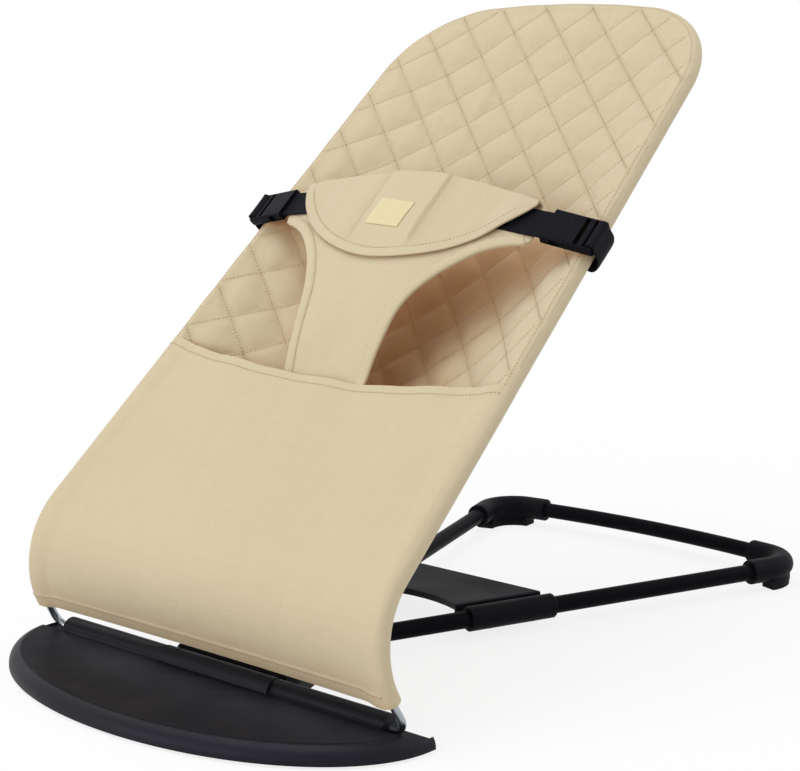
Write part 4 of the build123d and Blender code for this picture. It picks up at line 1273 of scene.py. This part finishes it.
# %% [markdown]
# ## Webbing
# Short black webbing comes out between the flap and the bib and goes into the buckle's socket. On
# the other side of the buckle a strap runs over the end bar of the clip, round the rail and back
# under the sling. Each of the two is drawn first as a line of points in x and n.

# %% Lines of the webbing
WEBBING_WIDTH = 25.0
WEBBING_THICKNESS = 1.6
BUCKLE_S = 357.0
BUCKLE_TILT = radians(14.0)
BUCKLE_RISE = 13.3
BIB_STRAP = ((94, 26.5), (104, 24.9), (114, 23.4), (124, 21.6), (131, 20.6), (136, 19.8), (142, 18.3))
CLIP_LOOP = ((8.7, -4.0), (8.7, 3.4), (9.9, 5.1), (12.0, 5.6), (14.2, 5.1), (15.3, 3.2), (15.3, -1.5))
ROUND_RAIL = ((14.6, 2.0), (12.6, -4.0), (8.8, -9.2), (2.0, -13.0))
TAIL_OFFSETS = (-10.0, -18.0, -26.0, -34.0, -42.0, -48.0)
buckle_x = float(rail_x(BUCKLE_S))


def on_clip(along, up):
    """x and n of a point given along and above the tilted clip."""
    return (buckle_x + along * cos(BUCKLE_TILT) + up * sin(BUCKLE_TILT),
            BUCKLE_RISE - along * sin(BUCKLE_TILT) + up * cos(BUCKLE_TILT))


def under_sling(x):
    """Height of the strap's line where it lies against the back of the sling."""
    s = np.linspace(BUCKLE_S - WEBBING_WIDTH / 2, BUCKLE_S + WEBBING_WIDTH / 2, 9)
    return float(casing_back(np.full_like(s, x), s).min()) - WEBBING_THICKNESS / 2 - 0.2


rail_strap = [on_clip(*point) for point in CLIP_LOOP]
rail_strap += [(buckle_x + x, n) for x, n in ROUND_RAIL]
rail_strap += [(buckle_x + x, under_sling(buckle_x + x)) for x in TAIL_OFFSETS]
print("points along a strap:", len(rail_strap))

# %% [markdown]
# A line becomes a band when it is swept along s by the webbing's width, with both edges curled up a
# little.


def band_grid(points):
    """Webbing grid: rows along the band, columns across its width."""
    line = np.array(points, float)
    run = run_length(line)
    at = np.linspace(0, run[-1], max(12, int(run[-1] / 2.0)))
    x, n = (smooth_curve(at, run, line[:, k]) for k in (0, 1))
    across = np.linspace(-0.5, 0.5, 13)[None, :]
    curl = 0.35 * (2 * across) ** 6
    return on_seat(x[:, None], BUCKLE_S + across * WEBBING_WIDTH, n[:, None] + curl)


def webbing_piece(name, grid):
    """Band with its thickness split to both sides of its line."""
    piece = cloth_piece(name, grid, WEBBING_THICKNESS, webbing_nylon, edge=0.4)
    piece.modifiers["thickness"].offset = 0.0
    return piece


for side, label in ((-1, "left"), (1, "right")):
    flip = slice(None, None, -1) if side < 0 else slice(None)
    short = band_grid(BIB_STRAP)[:, flip] * (side, 1, 1)
    piece = webbing_piece("bib_webbing_cloth_" + label, short)
    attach(piece, "seat")
    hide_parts("bib_webbing_" + label)
    long = band_grid(rail_strap)[:, flip] * (side, 1, 1)
    strap = webbing_piece("buckle_strap_cloth_" + label, long)
    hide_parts("buckle_strap_" + label)
    for modifier in list(strap.modifiers):
        with bpy.context.temp_override(object=strap, active_object=strap):
            bpy.ops.object.modifier_apply(modifier=modifier.name)
    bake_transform(strap)
print("webbing bands made")

# %% [markdown]
# ## Studio
# The photograph has a plain white ground and soft light from all round, strongest from above and in
# front. A pale floor catches the shadow. Rays from the camera, and those that are mirrored or pass
# through, see a white floor and sky, so the ground is white without more light on the seat.

# %% Floor and sky
FLOOR_HALF = 6.0
FLOOR_FADE = (0.42, 1.1)
FLOOR_GLOW = (0.82, 1.0)
SKY_LIGHT, SKY_SEEN = 0.66, 1.0


def seen_white(tree):
    """1 for rays that should meet a white ground, 0 for rays that carry light."""
    rays = add_node(tree, "LightPath")
    mirrored = maths(tree, "MAXIMUM", rays["Is Camera Ray"], rays["Is Glossy Ray"])
    return maths(tree, "MAXIMUM", mirrored, rays["Is Transmission Ray"])


def studio_floor():
    mesh = bpy.data.meshes.new("floor")
    corners = [(-FLOOR_HALF, -FLOOR_HALF, 0), (FLOOR_HALF, -FLOOR_HALF, 0),
               (FLOOR_HALF, FLOOR_HALF, 0), (-FLOOR_HALF, FLOOR_HALF, 0)]
    mesh.from_pydata(corners, [], [(0, 1, 2, 3)])
    floor = add_object("floor", mesh)
    material, tree, shader = new_material("pale floor")
    fill(tree, shader, {"Base Color": colour(0.86, 0.86, 0.86), "Roughness": 0.9})
    glow = add_node(tree, "Emission", {"Color": colour(1, 1, 1), "Strength": 1.0})[0]
    away = add_node(tree, "VectorMath", {0: object_place(tree)}, operation="LENGTH")["Value"]
    share = maths(tree, "MULTIPLY", seen_white(tree), ranged(tree, away, *FLOOR_FADE, *FLOOR_GLOW))
    mix = add_node(tree, "MixShader", {0: share, 1: shader.outputs[0], 2: glow})[0]
    fill(tree, tree.nodes["Material Output"], {"Surface": mix})
    mesh.materials.append(material)


def studio_sky():
    world = bpy.data.worlds.new("studio sky")
    bpy.context.scene.world = world
    world.use_nodes = True
    tree = world.node_tree
    strength = ranged(tree, seen_white(tree), 0.0, 1.0, SKY_LIGHT, SKY_SEEN)
    fill(tree, tree.nodes["Background"], {"Color": colour(1, 1, 1), "Strength": strength})


studio_floor()
studio_sky()
print("floor and sky ready")

# %% [markdown]
# Three soft boxes give the shading: a large one above, a weaker one in front and to the left, and a
# strip behind on the right that draws the edges of the dark tubes.

# %% Lamps
SEAT_MIDDLE = (0, 0, 0.25)


def softbox(name, place, aim, size, power):
    lamp = bpy.data.lights.new(name, "AREA")
    lamp.shape = "RECTANGLE"
    lamp.size, lamp.size_y = size
    lamp.energy = power
    box = add_object(name, lamp)
    box.location = place
    box.rotation_euler = (Vector(aim) - Vector(place)).to_track_quat("-Z", "Y").to_euler()


softbox("top softbox", (-0.3, -0.5, 2.2), SEAT_MIDDLE, (2.0, 1.6), 22)
softbox("front softbox", (-0.5, -2.2, 0.6), SEAT_MIDDLE, (1.8, 1.0), 15)
softbox("rear strip", (1.2, 1.4, 1.2), SEAT_MIDDLE, (0.5, 1.6), 8)
print("lamps ready")
